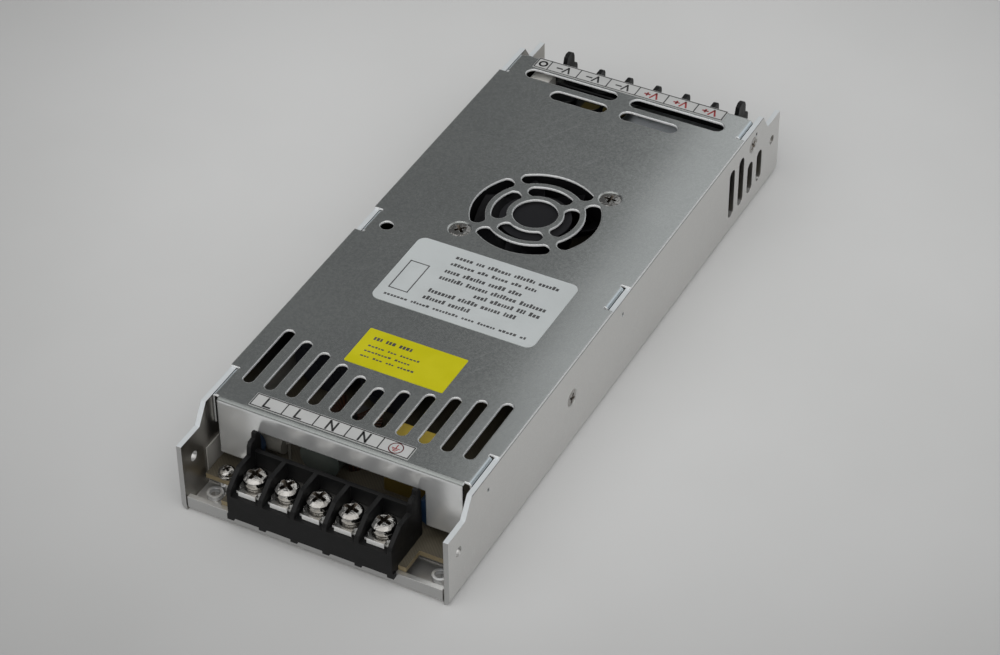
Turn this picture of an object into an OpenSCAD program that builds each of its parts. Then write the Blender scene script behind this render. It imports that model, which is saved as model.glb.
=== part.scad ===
// Slim enclosed switched-mode power supply in a folded metal case
// X runs across the case, Y from the input end to the output end, Z up
// The origin is on the underside, at the middle of the case

/* [Case] */
// Length of the folded chassis
case_l = 212; // [190:1:230]
// Width over the chassis side walls
case_w = 81.5; // [73:0.5:90]
// Height from the underside to the top of the cover
case_h = 29; // [28:0.5:34]
// Thickness of the chassis sheet
wall_t = 1.5; // [1.2:0.1:1.8]
// Inner radius of the chassis folds
fold_r = 0.5; // [0.3:0.1:0.8]
// Height of the cut-down ends of the side walls
end_h = 22.4; // [20:0.1:24]
// Length of the cut-down ends
end_l = 9.3; // [8:0.1:11]
// Length of the slope between a cut-down end and the full wall
slope_l = 3.9; // [2:0.1:5]
// Height of the folded lip across each end
lip_h = 5; // [4:0.1:5]
// Slit between a lip and the side wall beside it
lip_slit = 0.4; // [0.2:0.1:0.5]

/* [Fixing holes] */
// Radius of the fixing holes
fixing_r = 1.5; // [1.2:0.05:1.7]
// Distance of the floor fixing holes from the chassis ends
floor_fixing_y = 6.8; // [6:0.1:8]
// Distance of the floor fixing holes from the outside of the side walls
floor_fixing_x = 6.35; // [5.5:0.05:7]
// Outer radius of the raised collar round each floor fixing hole
collar_r = 2.3; // [2:0.1:2.5]
// Height of the collars above the floor
collar_h = 1.5; // [1:0.1:2]
// Distance of the side fixing holes from the chassis ends
side_fixing_y = 5.5; // [4.5:0.1:7]
// Height of the side fixing holes
side_fixing_z = 15.1; // [12:0.1:17]

/* [Cover] */
// Thickness of the cover sheet
cover_t = 0.7; // [0.6:0.1:1.2]
// Inner radius of the cover folds
cover_fold_r = 0.6; // [0.4:0.1:1]
// Length of the narrowed front end of the cover
front_neck = 13.5; // [11:0.1:15]
// Length of the narrowed rear end of the cover
rear_neck = 11.5; // [10:0.1:15]
// Depth of the bent side tabs below the top of the cover
tab_drop = 10; // [9:0.1:11]
// Place of the middle side tabs along Y
mid_tab_y = -4.8; // [-8:0.1:-2]
// Length of the notches for the middle side tabs
mid_notch_l = 11.5; // [8:0.1:14]
// Room between a tab and the ends of its notch
tab_room = 0.8; // [0.4:0.1:1.5]
// Gap between the end flanges and the outside of the side tabs
flange_gap = 2.15; // [1.9:0.05:4]
// Depth of the end flanges below the top of the cover
flange_drop = 19; // [17:0.1:20]
// Depth of the flange edge above a terminal block
mouth_drop = 6.9; // [6:0.1:7.5]
// Room between a terminal block and the sides of the flange mouth
mouth_room = 1.1; // [0.5:0.1:2]
// Room between the input block and its flange
front_flange_room = 0.4; // [0.2:0.1:1]
// Room between the output block and its flange
rear_flange_room = 1.4; // [0.4:0.1:2]
// Distance of the cover screws from the rear chassis end
cover_screw_y = 20.1; // [19:0.1:21]
// Depth of the cover screws below the top of the cover
cover_screw_drop = 6.5; // [5:0.1:7.5]
// Radius of the loose hole in the cover top
cable_hole_r = 2; // [1:0.1:3]
// Place of that hole from the left case side
cable_hole_x = 7.4; // [6:0.1:12]
// Place of that hole along Y
cable_hole_y = -5.1; // [-12:0.1:4]

/* [Vents] */
// Width of the front vent slots in the cover
vent_w = 3.3; // [2:0.1:3.6]
// Distance of the outermost front slots from the edge of the flat cover
vent_margin = 4.35; // [2:0.05:8]
// Number of front vent slots
vent_n = 11; // [7:2:11]
// Distance of the front slots from the front flange
vent_start = 9.2; // [8:0.1:12]
// Length of the middle front slot
vent_mid_l = 14.2; // [10:0.1:18]
// Extra length of each slot further from the middle
vent_step = 2; // [0:0.1:2.5]
// Width of the rear slots in the cover
rear_slot_w = 4.6; // [3:0.1:5]
// Distance of the outer rear slots from the rear flange
outer_slot_y = 8.8; // [8:0.1:10]
// Distance of the outer rear slots from the edge of the flat cover
slot_margin = 5; // [3:0.1:12]
// Distance between the outer and inner rear slots
slot_gap_y = 7.1; // [6:0.1:9]
// Length of the inner rear slots
inner_slot_l = 18.6; // [10:0.1:22]
// Distance between the two slots of a pair
slot_gap_x = 4.6; // [4:0.1:7]
// Number of wall vents
wall_vent_n = 4; // [2:1:4]
// Width of the wall vents
wall_vent_w = 3.8; // [2:0.1:4.2]
// Distance between the wall vents
wall_vent_pitch = 6.8; // [6:0.1:7]
// Distance of the last wall vent from the rear chassis end
wall_vent_y = 14.8; // [13.5:0.1:16]
// Height of the foot of the wall vents
wall_vent_z = 6; // [5.5:0.1:8]
// Length of the long wall vents
wall_vent_long = 17; // [13:0.1:17.5]
// Length of the short wall vents, below the cover screw
wall_vent_short = 11.1; // [8:0.1:11.4]

/* [Fan] */
// Place of the fan along X
fan_x = 1.9; // [-4:0.1:4]
// Place of the fan along Y
fan_y = 19; // [17:0.1:20]
// Side of the square fan frame
fan_size = 40; // [36:0.5:41]
// Distance of the fan's screw holes from the sides of its frame
fan_inset = 4; // [3.6:0.1:4.3]
// Depth of the fan
fan_depth = 10; // [9.6:0.1:10.4]
// Thinnest wall round the fan duct
duct_wall = 0.9; // [0.6:0.1:1.2]
// Room between the blade tips and the duct
tip_room = 0.6; // [0.4:0.1:1]
// Radius of the rotor hub
hub_r = 10.5; // [9.5:0.1:11]
// Number of blades
blade_n = 7; // [5:1:9]
// Greatest thickness of a blade
blade_t = 0.9; // [0.7:0.1:1.1]
// Radius of the fan shaft
shaft_r = 1; // [0.8:0.05:1.2]
// Distance of the grille slots inside the edge of the fan duct
grille_room = 0.2; // [0:0.1:1]
// Width of the curved grille slots
ring_w = 4.45; // [3.5:0.05:5]
// Width of the rings left between the grille slots
ring_land = 1.7; // [1.2:0.1:2.4]
// Width of the bridges between the grille slots
bridge_w = 2.3; // [1.6:0.1:3]

/* [Terminal blocks] */
// Distance between neighbouring terminals
pitch = 9.7; // [9.4:0.1:9.9]
// Number of input terminals
ac_n = 5; // [3:1:5]
// Number of output terminals
dc_n = 6; // [4:1:6]
// Thickness of the barriers
barrier_t = 1.3; // [1:0.1:1.6]
// How far the blocks stand out past the chassis ends
overhang = 1.6; // [1.4:0.1:2]
// Depth of the blocks from front to back
block_d = 16.2; // [15.5:0.1:17]
// Distance of the back wall from the front face
back_d = 13; // [12:0.1:13.5]
// Distance of the end hooks from the front face
hook_d = 10.8; // [10.4:0.1:11.3]
// Height of the terminal floor above the board
cell_h = 6; // [4:0.1:6.4]
// Height of the barriers and the back wall above the board
barrier_h = 11.8; // [11:0.1:12.5]
// Height of the hooks on the end walls above the board
hook_h = 17.4; // [16:0.1:18]
// Distance of the terminal screws from the front face
screw_d = 6.2; // [5.5:0.1:6.5]
// Radius of the terminal screw heads
screw_head_r = 3.4; // [2.6:0.1:3.6]
// Radius of the terminal screw shanks
screw_r = 1.7; // [1.4:0.05:1.9]
// Thickness of the contacts
contact_t = 0.8; // [0.6:0.1:1]
// Side of the square clamp plates
clamp_w = 7.2; // [6.6:0.1:7.6]
// Thickness of the clamp plates
clamp_t = 0.9; // [0.7:0.1:1.1]

/* [Board] */
// Height of the board above the floor
board_gap = 3.5; // [3.4:0.1:4.2]
// Thickness of the board
board_t = 1.6; // [1.2:0.1:2]
// Room between the board and the side walls
board_room = 0.95; // [0.8:0.05:1.2]
// Distance of the board shoulders from the chassis ends
shoulder_y = 8.8; // [8:0.1:9.2]
// Room between the front board tongue and the left floor collar
tongue_room_left = 3.1; // [2:0.1:5]
// Room between the front board tongue and the right floor collar
tongue_room_right = 4.9; // [2:0.1:6]
// Room between the rear board tongue and the floor collars
tongue_room_rear = 1.5; // [1:0.1:2]
// Radius of the standoffs
standoff_r = 2.2; // [2:0.1:2.3]
// Radius of the board screws
board_screw_r = 1.3; // [1.1:0.05:1.4]
// Distance of the board screws from the side walls
board_screw_x = 6.05; // [5.5:0.05:7]
// Distance of the front board screw from the front chassis end
board_screw_y = 11.3; // [11.1:0.1:12]
// Distance of the right middle board screw behind the heat bar
bar_screw_gap = 9.1; // [6:0.1:14]
// Distance of the left middle board screw from the rear chassis end
left_screw_y = 71; // [68:0.5:80]
// Distance of the rear board screw from the rear chassis end
rear_screw_y = 46; // [44:0.5:50]
// Thickness of the insulation sheet
sheet_t = 0.4; // [0.3:0.05:0.5]
// Height of the insulation sheet's upstand
sheet_h = 13.6; // [10:0.1:16]

/* [Power parts] */
// Radius of the bulk capacitors
bulk_r = 9.5; // [8:0.1:9.8]
// Room between the line choke and the bulk capacitors
bulk_room_front = 7.4; // [4:0.1:12]
// Room between the bulk capacitors and the fan
bulk_room_rear = 15.1; // [10:0.1:20]
// Radius of the output capacitors
out_cap_r = 4; // [3.5:0.1:4.2]
// Height of the output capacitors
out_cap_h = 15; // [12:0.1:16]
// Width of the transformer core
core_w = 28; // [26:0.1:29]
// Room between the fan and the transformer
core_room_front = 6.5; // [4:0.1:9]
// Room between the transformer and the output capacitors
core_room_rear = 1.9; // [1:0.1:4]
// Thickness of the transformer core
core_t = 11; // [10:0.1:12]
// Thickness of the heat bar on the right wall
bar_t = 3.2; // [2.5:0.1:3.6]
// Length of the heat bar
bar_l = 42; // [41:0.5:44]
// Place of the heat bar's screw along Y
bar_y = -35.1; // [-37:0.1:-33]
// Height of the heat bar's screw
bar_screw_z = 16.5; // [14:0.1:18]
// Thickness of the output heatsink
sink_t = 1.8; // [1.4:0.1:2]
// Depth of the output heatsink's top
sink_d = 15; // [12:0.1:16]
// Room between the output heatsink and the right edge of the board
sink_room = 5.3; // [4:0.1:8]
// Distance of the output heatsink from the rear chassis end
sink_end = 35; // [33:0.1:36]
// Depth of the output heatsink below the cover
sink_drop = 3.6; // [2:0.1:5]
// Room beside the trimmer, to the output block and to the edge of the board
trimmer_room = 1.275; // [0.9:0.025:1.5]
// Depth of the trimmer from front to back
trimmer_l = 6; // [5:0.1:6.4]
// Height of the trimmer
trimmer_h = 7.4; // [6:0.1:9]

/* [Labels] */
// Thickness of the stickers
label_t = 0.12; // [0.08:0.01:0.2]
// Width of the white label
white_w = 50.4; // [40:0.1:52]
// Length of the white label
white_l = 30; // [24:0.1:30]
// Place of the white label along X
white_x = 3.1; // [0:0.1:6]
// Place of the white label along Y
white_y = -20.1; // [-22:0.1:-20]
// Corner radius of the white label
white_r = 2.5; // [1:0.1:4]
// Width of the yellow label
yellow_w = 30.2; // [24:0.1:34]
// Length of the yellow label
yellow_l = 15; // [11:0.1:15]
// Place of the yellow label along X
yellow_x = 0.3; // [-4:0.1:4]
// Gap between the front slots and the yellow label
yellow_gap = 1.6; // [0.5:0.1:6]
// Width of the input marking strip
ac_strip_w = 48.2; // [44:0.1:50]
// Place of the input marking strip along X
ac_strip_x = -4.1; // [-6:0.1:6]
// Width of the output marking strip
dc_strip_w = 63.2; // [58:0.1:66]
// Place of the output marking strip along X
dc_strip_x = -0.9; // [-1:0.1:1]
// Depth of the marking strips
strip_l = 5.2; // [4:0.1:5.4]

/* [Hidden] */
$fn = 48;

// Working clearances: a sliding fit, a running fit and an overshoot for cuts
fit = 0.1;
run = 0.03;
over = 1;

// Main planes
front = -case_l / 2;
rear = case_l / 2;
wall_top = case_h - cover_t;
inner_x = case_w / 2 - wall_t;
fold_out = fold_r + wall_t;
cover_fold_out = cover_fold_r + cover_t;
board_z = wall_t + board_gap;
board_top = board_z + board_t;
board_x = inner_x - board_room;
board_y = case_l / 2 - shoulder_y;
tongue_y = case_l / 2 - wall_t - fit;

// Terminal block places and the cover edges that follow from them
block_back = block_d - overhang;
cover_front = front + block_back + front_flange_room;
cover_rear = rear - block_back - rear_flange_room;
ac_half = (ac_n * pitch + barrier_t) / 2;
dc_half = (dc_n * pitch + barrier_t) / 2;
tab_x = inner_x - fit;
flat_x = tab_x - cover_fold_out;
flange_w = 2 * (tab_x - flange_gap);
vent_pitch = 2 * (flat_x - vent_margin) / (vent_n - 1);
outer_slot_l = flat_x - slot_margin - slot_gap_x / 2;
cell_z = board_top + cell_h;
contact_top = cell_z + contact_t;
clamp_top = contact_top + clamp_t;

// Board tongues that pass between the floor collars
collar_side = case_w / 2 - floor_fixing_x - collar_r;
front_tongue_left = collar_side - tongue_room_left;
front_tongue_right = collar_side - tongue_room_right;
rear_tongue = collar_side - tongue_room_rear;

// Screw places
screw_x = inner_x - board_screw_x;
board_screws_at = [[-screw_x, front + board_screw_y], [screw_x, bar_y + bar_l / 2 + bar_screw_gap],
  [-screw_x, rear - left_screw_y], [screw_x, rear - rear_screw_y]];
cover_screw_z = case_h - cover_screw_drop;
fan_top = wall_top;
fan_floor = fan_top - fan_depth;

// Fan duct and grille, from the side of the fan frame
fan_pitch = fan_size - 2 * fan_inset;
duct_r = fan_size / 2 - duct_wall;
ring_two_out = duct_r - grille_room;
ring_two_in = ring_two_out - ring_w;
ring_one_out = ring_two_in - ring_land;
ring_one_in = ring_one_out - ring_w;
eye_r = ring_one_in - ring_land;

// Shapes that repeat

// A section with two rounded lower corners, its foot on the X axis
module tub_2d(w, h, r) {
  translate([-w / 2, r]) square([w, h - r]);
  translate([-w / 2 + r, 0]) square([w - 2 * r, h]);
  for (side = [-1, 1]) translate([side * (w / 2 - r), r]) circle(r);
}

// A rectangle with rounded corners, centred
module plate_2d(w, l, r) {
  square([w - 2 * r, l], center = true);
  square([w, l - 2 * r], center = true);
  for (x = [-1, 1], y = [-1, 1]) translate([x * (w / 2 - r), y * (l / 2 - r)]) circle(r);
}

// A slot with round ends along Y, between two points
module slot_2d(w, y0, y1) {
  translate([-w / 2, y0 + w / 2]) square([w, y1 - y0 - w]);
  for (y = [y0 + w / 2, y1 - w / 2]) translate([0, y]) circle(w / 2);
}

// A folded sheet corner: one leg along X, one along Y, outside corner at the origin
module fold_2d(t, r, leg_x, leg_y) {
  out = r + t;
  translate([out, 0]) square([leg_x - out, t]);
  translate([0, out]) square([t, leg_y - out]);
  difference() {
    intersection() {
      translate([out, out]) circle(out);
      square(out);
    }
    translate([out, out]) circle(r);
  }
}

// Turns a YZ outline into a solid between two X planes
module across_x(x0, x1) {
  translate([x0, 0, 0]) rotate([90, 0, 90]) linear_extrude(x1 - x0) children();
}

// Turns an XZ outline into a solid between two Y planes
module along_y(y0, y1) {
  translate([0, y1, 0]) rotate([90, 0, 0]) linear_extrude(y1 - y0) children();
}

// A box between two corners
module box(low, high) {
  translate(low) cube(high - low);
}

// A countersunk screw, its flush face at the origin, pointing down
module countersunk(head_r, shank_r, length) {
  depth = head_r - shank_r;
  translate([0, 0, -depth]) cylinder(depth, shank_r, head_r);
  translate([0, 0, -length]) cylinder(length - depth, r = shank_r);
}

// The matching seat, with clearance all round
module countersink(head_r, shank_r, length, gap) {
  depth = head_r - shank_r;
  translate([0, 0, -depth]) cylinder(depth, shank_r + gap, head_r + gap);
  cylinder(over, r = head_r + gap);
  translate([0, 0, -length]) cylinder(length, r = shank_r + gap);
}

// A pan head screw with its seat at the origin, pointing down
module pan_screw(head_r, head_h, shank_r, length) {
  dome_r = head_r * 1.5;
  intersection() {
    cylinder(head_h, r = head_r);
    translate([0, 0, head_h - dome_r]) sphere(dome_r);
  }
  translate([0, 0, -length]) cylinder(length, r = shank_r);
}

// An electrolytic can with its groove, standing on the origin
module can(r, l) {
  lip = r * 0.08;
  groove = r * 0.3;
  rotate_extrude() polygon([[0, 0], [r - lip, 0], [r, lip], [r, groove], [r - lip, groove + lip],
    [r - lip, groove + 2 * lip], [r, groove + 3 * lip], [r, l - lip], [r - lip, l], [0, l]]);
}

// A flat power package: tab, moulded body and three legs, tab against the Y plane, facing -Y
module power_package(w, body_h, body_t, foot) {
  tab_t = 1.3;
  tab_extra = 5;
  leg_w = 0.9;
  leg_t = 0.6;
  legs = 3;
  translate([-w / 2, -tab_t, 0]) cube([w, tab_t, body_h + tab_extra]);
  translate([-w / 2, -body_t, 0]) cube([w, body_t, body_h]);
  for (i = [0 : legs - 1]) {
    translate([(i - 1) * w / 4 - leg_w / 2, -body_t * 0.6, -foot]) cube([leg_w, leg_t, foot]);
  }
}

// Chassis

module end_cut() {
  across_x(-case_w / 2 - over, case_w / 2 + over) polygon([[front - over, end_h],
    [front + end_l, end_h], [front + end_l + slope_l, wall_top],
    [front + end_l + slope_l, wall_top + over], [front - over, wall_top + over]]);
}

lip_x = case_w / 2 - fold_out;

module lip() {
  across_x(-lip_x, lip_x) translate([front, 0]) fold_2d(wall_t, fold_r, fold_out + fit, lip_h);
}

module lip_seat() {
  box([-lip_x, front - over, -over], [lip_x, front + fold_out, wall_t + fold_r + over]);
  for (side = [-1, 1]) {
    x = side * (lip_x + lip_slit / 2);
    box([x - lip_slit / 2, front - over, -over], [x + lip_slit / 2, front + fold_out + over, lip_h]);
  }
}

function floor_fixings() = [for (x = [-1, 1], y = [-1, 1])
  [x * (case_w / 2 - floor_fixing_x), y * (case_l / 2 - floor_fixing_y)]];

// Small windows that catch the dimples of the cover tabs, as place along Y and height
snap_front = 7;
snap_rear = 2;
snap_drop = 6.1;
rear_snap_drop = 3.9;
snap_windows = [[cover_front + snap_front, case_h - snap_drop], [mid_tab_y + 1, case_h - snap_drop],
  [cover_rear - snap_rear, case_h - rear_snap_drop]];
snap_w = 1;
snap_h = 1.3;

module wall_vents() {
  for (i = [0 : wall_vent_n - 1]) {
    y = rear - wall_vent_y - i * wall_vent_pitch;
    length = i < 2 ? wall_vent_short : wall_vent_long;
    across_x(inner_x - over, case_w / 2 + over) translate([y, 0])
      slot_2d(wall_vent_w, wall_vent_z, wall_vent_z + length);
  }
}

wall_screw_head = 2.8;
wall_screw_r = 1.5;

module chassis() {
  color("gainsboro") difference() {
    union() {
      difference() {
        along_y(front, rear) difference() {
          tub_2d(case_w, wall_top, fold_out);
          translate([0, wall_t]) tub_2d(2 * inner_x, wall_top, fold_r);
        }
        for (turn = [0, 180]) rotate(turn) {
          end_cut();
          lip_seat();
        }
      }
      for (turn = [0, 180]) rotate(turn) lip();
      for (p = floor_fixings()) translate([p.x, p.y, wall_t / 2])
        cylinder(wall_t / 2 + collar_h, r = collar_r);
      for (p = board_screws_at) translate([p.x, p.y, wall_t / 2])
        cylinder(board_z - wall_t / 2, r = standoff_r);
    }
    for (p = floor_fixings()) translate([p.x, p.y, -over])
      cylinder(wall_t + collar_h + 2 * over, r = fixing_r);
    for (p = board_screws_at) translate([p.x, p.y, wall_t])
      cylinder(board_gap + over, r = board_screw_r + run);
    for (y = [front + side_fixing_y, rear - side_fixing_y])
      translate([-case_w / 2 - over, y, side_fixing_z]) rotate([0, 90, 0])
        cylinder(case_w + 2 * over, r = fixing_r);
    for (p = snap_windows) box([-case_w / 2 - over, p.x - snap_w / 2, p.y - snap_h / 2],
      [case_w / 2 + over, p.x + snap_w / 2, p.y + snap_h / 2]);
    for (side = [-1, 1]) translate([side * case_w / 2, rear - cover_screw_y, cover_screw_z])
      rotate([0, side * 90, 0]) countersink(wall_screw_head, wall_screw_r, wall_t + over, run);
    translate([case_w / 2, bar_y, bar_screw_z]) rotate([0, 90, 0])
      countersink(wall_screw_head, wall_screw_r, wall_t + over, run);
    wall_vents();
  }
}

module insulation_sheet() {
  half_l = board_y - 2.2;
  w = inner_x - fit;
  color("lightgray") difference() {
    along_y(-half_l, half_l) difference() {
      translate([0, wall_t]) tub_2d(2 * w, sheet_h - wall_t, fold_r + run);
      translate([0, wall_t + sheet_t]) tub_2d(2 * (w - sheet_t), sheet_h, fold_r);
      translate([w - fold_r - over, wall_t - over]) square([fold_r + 2 * over, sheet_h + over]);
    }
    for (p = board_screws_at) translate([p.x, p.y, 0]) cylinder(board_z, r = standoff_r + fit);
  }
}

// Board

leg_w = 3;
leg_d = 9.2;

// Solder legs of a row of contacts, with clearance for the holes they pass through
module contact_legs(n, low, high, gap) {
  for (i = [0 : n - 1]) translate([(i - (n - 1) / 2) * pitch, leg_d, 0])
    box([-leg_w / 2 - gap, -contact_t / 2 - gap, low], [leg_w / 2 + gap, contact_t / 2 + gap, high]);
}

// Places a block at the input end, or turned round at the output end
module at_input() {
  translate([0, front - overhang, 0]) children();
}

module at_output() {
  translate([0, rear + overhang, 0]) rotate(180) children();
}

module main_board() {
  color("tan") difference() {
    translate([0, 0, board_z]) linear_extrude(board_t) {
      square([2 * board_x, 2 * board_y], center = true);
      translate([-front_tongue_left, -tongue_y])
        square([front_tongue_left + front_tongue_right, tongue_y]);
      translate([-rear_tongue, 0]) square([2 * rear_tongue, tongue_y]);
    }
    for (p = board_screws_at) translate([p.x, p.y, board_z - over])
      cylinder(board_t + 2 * over, r = board_screw_r + fit);
    at_input() contact_legs(ac_n, board_z - over, board_top + over, fit);
    at_output() contact_legs(dc_n, board_z - over, board_top + over, fit);
  }
}

module board_screws() {
  washer_r = 2.5;
  washer_t = 0.6;
  head_r = 2.2;
  color("silver") for (p = board_screws_at) translate([p.x, p.y, board_top]) {
    cylinder(washer_t, r = washer_r);
    translate([0, 0, washer_t]) pan_screw(head_r, head_r * 0.7, board_screw_r, board_t + board_gap);
  }
}

// Cover

// A fold along the front of the cover, turned to the other sides by its caller
module cover_fold(distance, x0, x1, drop) {
  across_x(x0, x1) translate([-distance, case_h]) mirror([0, 1])
    fold_2d(cover_t, cover_fold_r, cover_fold_out + fit, drop);
}

// How much wider than the slot the arc at a grille slot's end is
blunt = 1.1;

// One grille slot with blunt round ends, centred on the X axis
module ring_slot_2d(r_in, r_out) {
  mid = (r_in + r_out) / 2;
  end_r = (r_out - r_in) / 2 * blunt;
  a = 45 - (bridge_w / 2 + end_r) / mid * 180 / PI;
  intersection() {
    difference() {
      circle(r_out);
      circle(r_in);
    }
    union() {
      polygon([[0, 0], [2 * r_out, -2 * r_out * tan(a)], [2 * r_out, 2 * r_out * tan(a)]]);
      for (turn = [-a, a]) rotate(turn) translate([mid, 0]) circle(end_r);
    }
  }
}

module grille_2d() {
  circle(eye_r);
  for (turn = [0 : 90 : 270]) rotate(turn) {
    ring_slot_2d(ring_one_in, ring_one_out);
    ring_slot_2d(ring_two_in, ring_two_out);
  }
}

module front_vents_2d() {
  y0 = cover_front + vent_start;
  half = (vent_n - 1) / 2;
  for (i = [-half : half]) translate([i * vent_pitch, 0])
    slot_2d(vent_w, y0, y0 + vent_mid_l + abs(i) * vent_step);
}

module rear_vents_2d() {
  y = cover_rear - outer_slot_y;
  for (side = [-1, 1]) {
    translate([0, y]) rotate(-90 * side)
      slot_2d(rear_slot_w, slot_gap_x / 2, slot_gap_x / 2 + outer_slot_l);
    translate([0, y - slot_gap_y]) rotate(-90 * side)
      slot_2d(rear_slot_w, slot_gap_x / 2, slot_gap_x / 2 + inner_slot_l);
  }
}

fan_screw_head = 3.4;
fan_screw_r = 1.5;
fan_screws_at = [[fan_x - fan_pitch / 2, fan_y - fan_pitch / 2],
  [fan_x + fan_pitch / 2, fan_y + fan_pitch / 2]];

module cover_outline_2d() {
  translate([-flat_x, cover_front + cover_fold_out])
    square([2 * flat_x, cover_rear - cover_front - 2 * cover_fold_out]);
  difference() {
    translate([-case_w / 2, cover_front + front_neck])
      square([case_w, cover_rear - cover_front - front_neck - rear_neck]);
    for (side = [-1, 1]) translate([side * (flat_x + case_w / 2), mid_tab_y])
      square([case_w, mid_notch_l], center = true);
  }
}

// The flanges close the ends and leave a mouth over each terminal block
module flange_mouth(half) {
  box([-half - mouth_room, -over, 0], [half + mouth_room, cover_t + over, case_h - mouth_drop]);
}

module side_tabs() {
  spans = [[cover_front + cover_fold_out, cover_front + front_neck - tab_room],
    [mid_tab_y - mid_notch_l / 2 + tab_room, mid_tab_y + mid_notch_l / 2 - tab_room],
    [cover_rear - rear_neck + tab_room, cover_rear - cover_fold_out]];
  for (s = spans) {
    rotate(90) cover_fold(tab_x, s[0], s[1], tab_drop);
    rotate(-90) cover_fold(tab_x, -s[1], -s[0], tab_drop);
  }
}

module top_cover() {
  color("darkgray") difference() {
    union() {
      translate([0, 0, wall_top]) linear_extrude(cover_t) difference() {
        cover_outline_2d();
        front_vents_2d();
        rear_vents_2d();
        translate([fan_x, fan_y]) grille_2d();
        translate([-case_w / 2 + cable_hole_x, cable_hole_y]) circle(cable_hole_r);
      }
      cover_fold(-cover_front, -flange_w / 2, flange_w / 2, flange_drop);
      rotate(180) cover_fold(cover_rear, -flange_w / 2, flange_w / 2, flange_drop);
      side_tabs();
    }
    translate([0, cover_front, 0]) flange_mouth(ac_half);
    translate([0, cover_rear - cover_t, 0]) flange_mouth(dc_half);
    for (p = fan_screws_at) translate([p.x, p.y, case_h])
      countersink(fan_screw_head, fan_screw_r, cover_t + over, run);
    for (side = [-1, 1]) translate([side * case_w / 2, rear - cover_screw_y, cover_screw_z])
      rotate([0, -side * 90, 0]) cylinder(wall_t + cover_t + 2 * over, r = wall_screw_r + run);
  }
}

module cover_screws() {
  length = wall_t + fit + cover_t + 2;
  color("silver") for (side = [-1, 1])
    translate([side * case_w / 2, rear - cover_screw_y, cover_screw_z])
      rotate([0, side * 90, 0]) countersunk(wall_screw_head, wall_screw_r, length);
}

// Fan

hub_sink = 0.8;
hub_lift = 0.6;
hub_wall = 0.9;
hub_roof = 1.2;
magnet_t = 1.2;
air_gap = 0.5;
tube_r = 3;
tube_room = 1.2;
bush_r = 2;
base_t = 1.4;
hub_top = fan_top - hub_sink;
hub_foot = fan_floor + base_t + hub_lift;
tube_top = hub_top - hub_roof - tube_room;

module fan_frame() {
  corner_r = 3;
  strut_w = 2.2;
  color("dimgray") translate([fan_x, fan_y, 0]) difference() {
    union() {
      translate([0, 0, fan_floor]) linear_extrude(fan_depth) difference() {
        plate_2d(fan_size, fan_size, corner_r);
        circle(duct_r);
      }
      translate([0, 0, fan_floor]) linear_extrude(base_t) {
        circle(hub_r - hub_wall);
        difference() {
          for (turn = [45, 135]) rotate(turn) square([2 * duct_r + 1, strut_w], center = true);
          circle(hub_r / 2);
        }
      }
      translate([0, 0, fan_floor]) cylinder(tube_top - fan_floor, r = tube_r);
    }
    for (x = [-1, 1], y = [-1, 1]) translate([x * fan_pitch / 2, y * fan_pitch / 2, fan_floor - over])
      cylinder(fan_depth + 2 * over, r = fan_screw_r + fit);
    for (s = [-1, 1]) translate([s * fan_pitch / 2, s * fan_pitch / 2, case_h])
      countersink(fan_screw_head, fan_screw_r, cover_t + over, fit);
    translate([0, 0, fan_floor + base_t / 2]) cylinder(tube_top, r = bush_r);
  }
}

module fan_bush() {
  color("peru") translate([fan_x, fan_y, fan_floor + base_t / 2 + fit]) difference() {
    cylinder(tube_top - fan_floor - base_t / 2 - fit, r = bush_r);
    translate([0, 0, -over]) cylinder(fan_depth + 2 * over, r = shaft_r + run);
  }
}

module fan_stator() {
  outer = hub_r - hub_wall - magnet_t - air_gap;
  shoe_t = 0.9;
  pole_w = 2.4;
  hub_t = 1.2;
  end_room = 1;
  low = hub_foot + hub_lift;
  high = hub_top - hub_roof - end_room;
  color("sienna") translate([fan_x, fan_y, low]) linear_extrude(high - low) {
    difference() {
      union() {
        circle(tube_r + hub_t);
        for (turn = [0, 90]) rotate(turn) square([2 * outer - shoe_t, pole_w], center = true);
        intersection() {
          difference() {
            circle(outer);
            circle(outer - shoe_t);
          }
          for (turn = [0 : 90 : 270]) rotate(turn)
            polygon([[0, 0], [2 * outer, -outer], [2 * outer, outer]]);
        }
      }
      circle(tube_r);
    }
  }
}

// A blade is lofted from sections on cylinders, its pitch easing from root to tip
blade_stations = 5;
blade_points = 7;
blade_root = hub_r - hub_wall / 2;
blade_tip = duct_r - tip_room;
blade_high = hub_top - 0.5;
blade_low = hub_foot + 0.5;
blade_arc_root = 44;
blade_arc_tip = 36;
blade_sweep = 14;

// Share of the way from root to tip, and from leading to trailing edge
function station(i) = i / (blade_stations - 1);
function along(j) = j / (blade_points - 1);

// Half thickness along the chord, thin at both edges
function half_t(t) = blade_t / 2 * (0.25 + 0.75 * sin(180 * t));

// A point on the upper (up = 1) or lower (up = -1) face of the blade
function blade_point(i, j, up) = let (s = station(i), t = along(j),
    r = blade_root + s * (blade_tip - blade_root),
    a = blade_sweep * s * s + t * (blade_arc_root + s * (blade_arc_tip - blade_arc_root)),
    z = blade_high - (blade_high - blade_low) * (t + 0.12 * sin(180 * t)) + up * half_t(t))
  [r * cos(a), r * sin(a), z];

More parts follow.
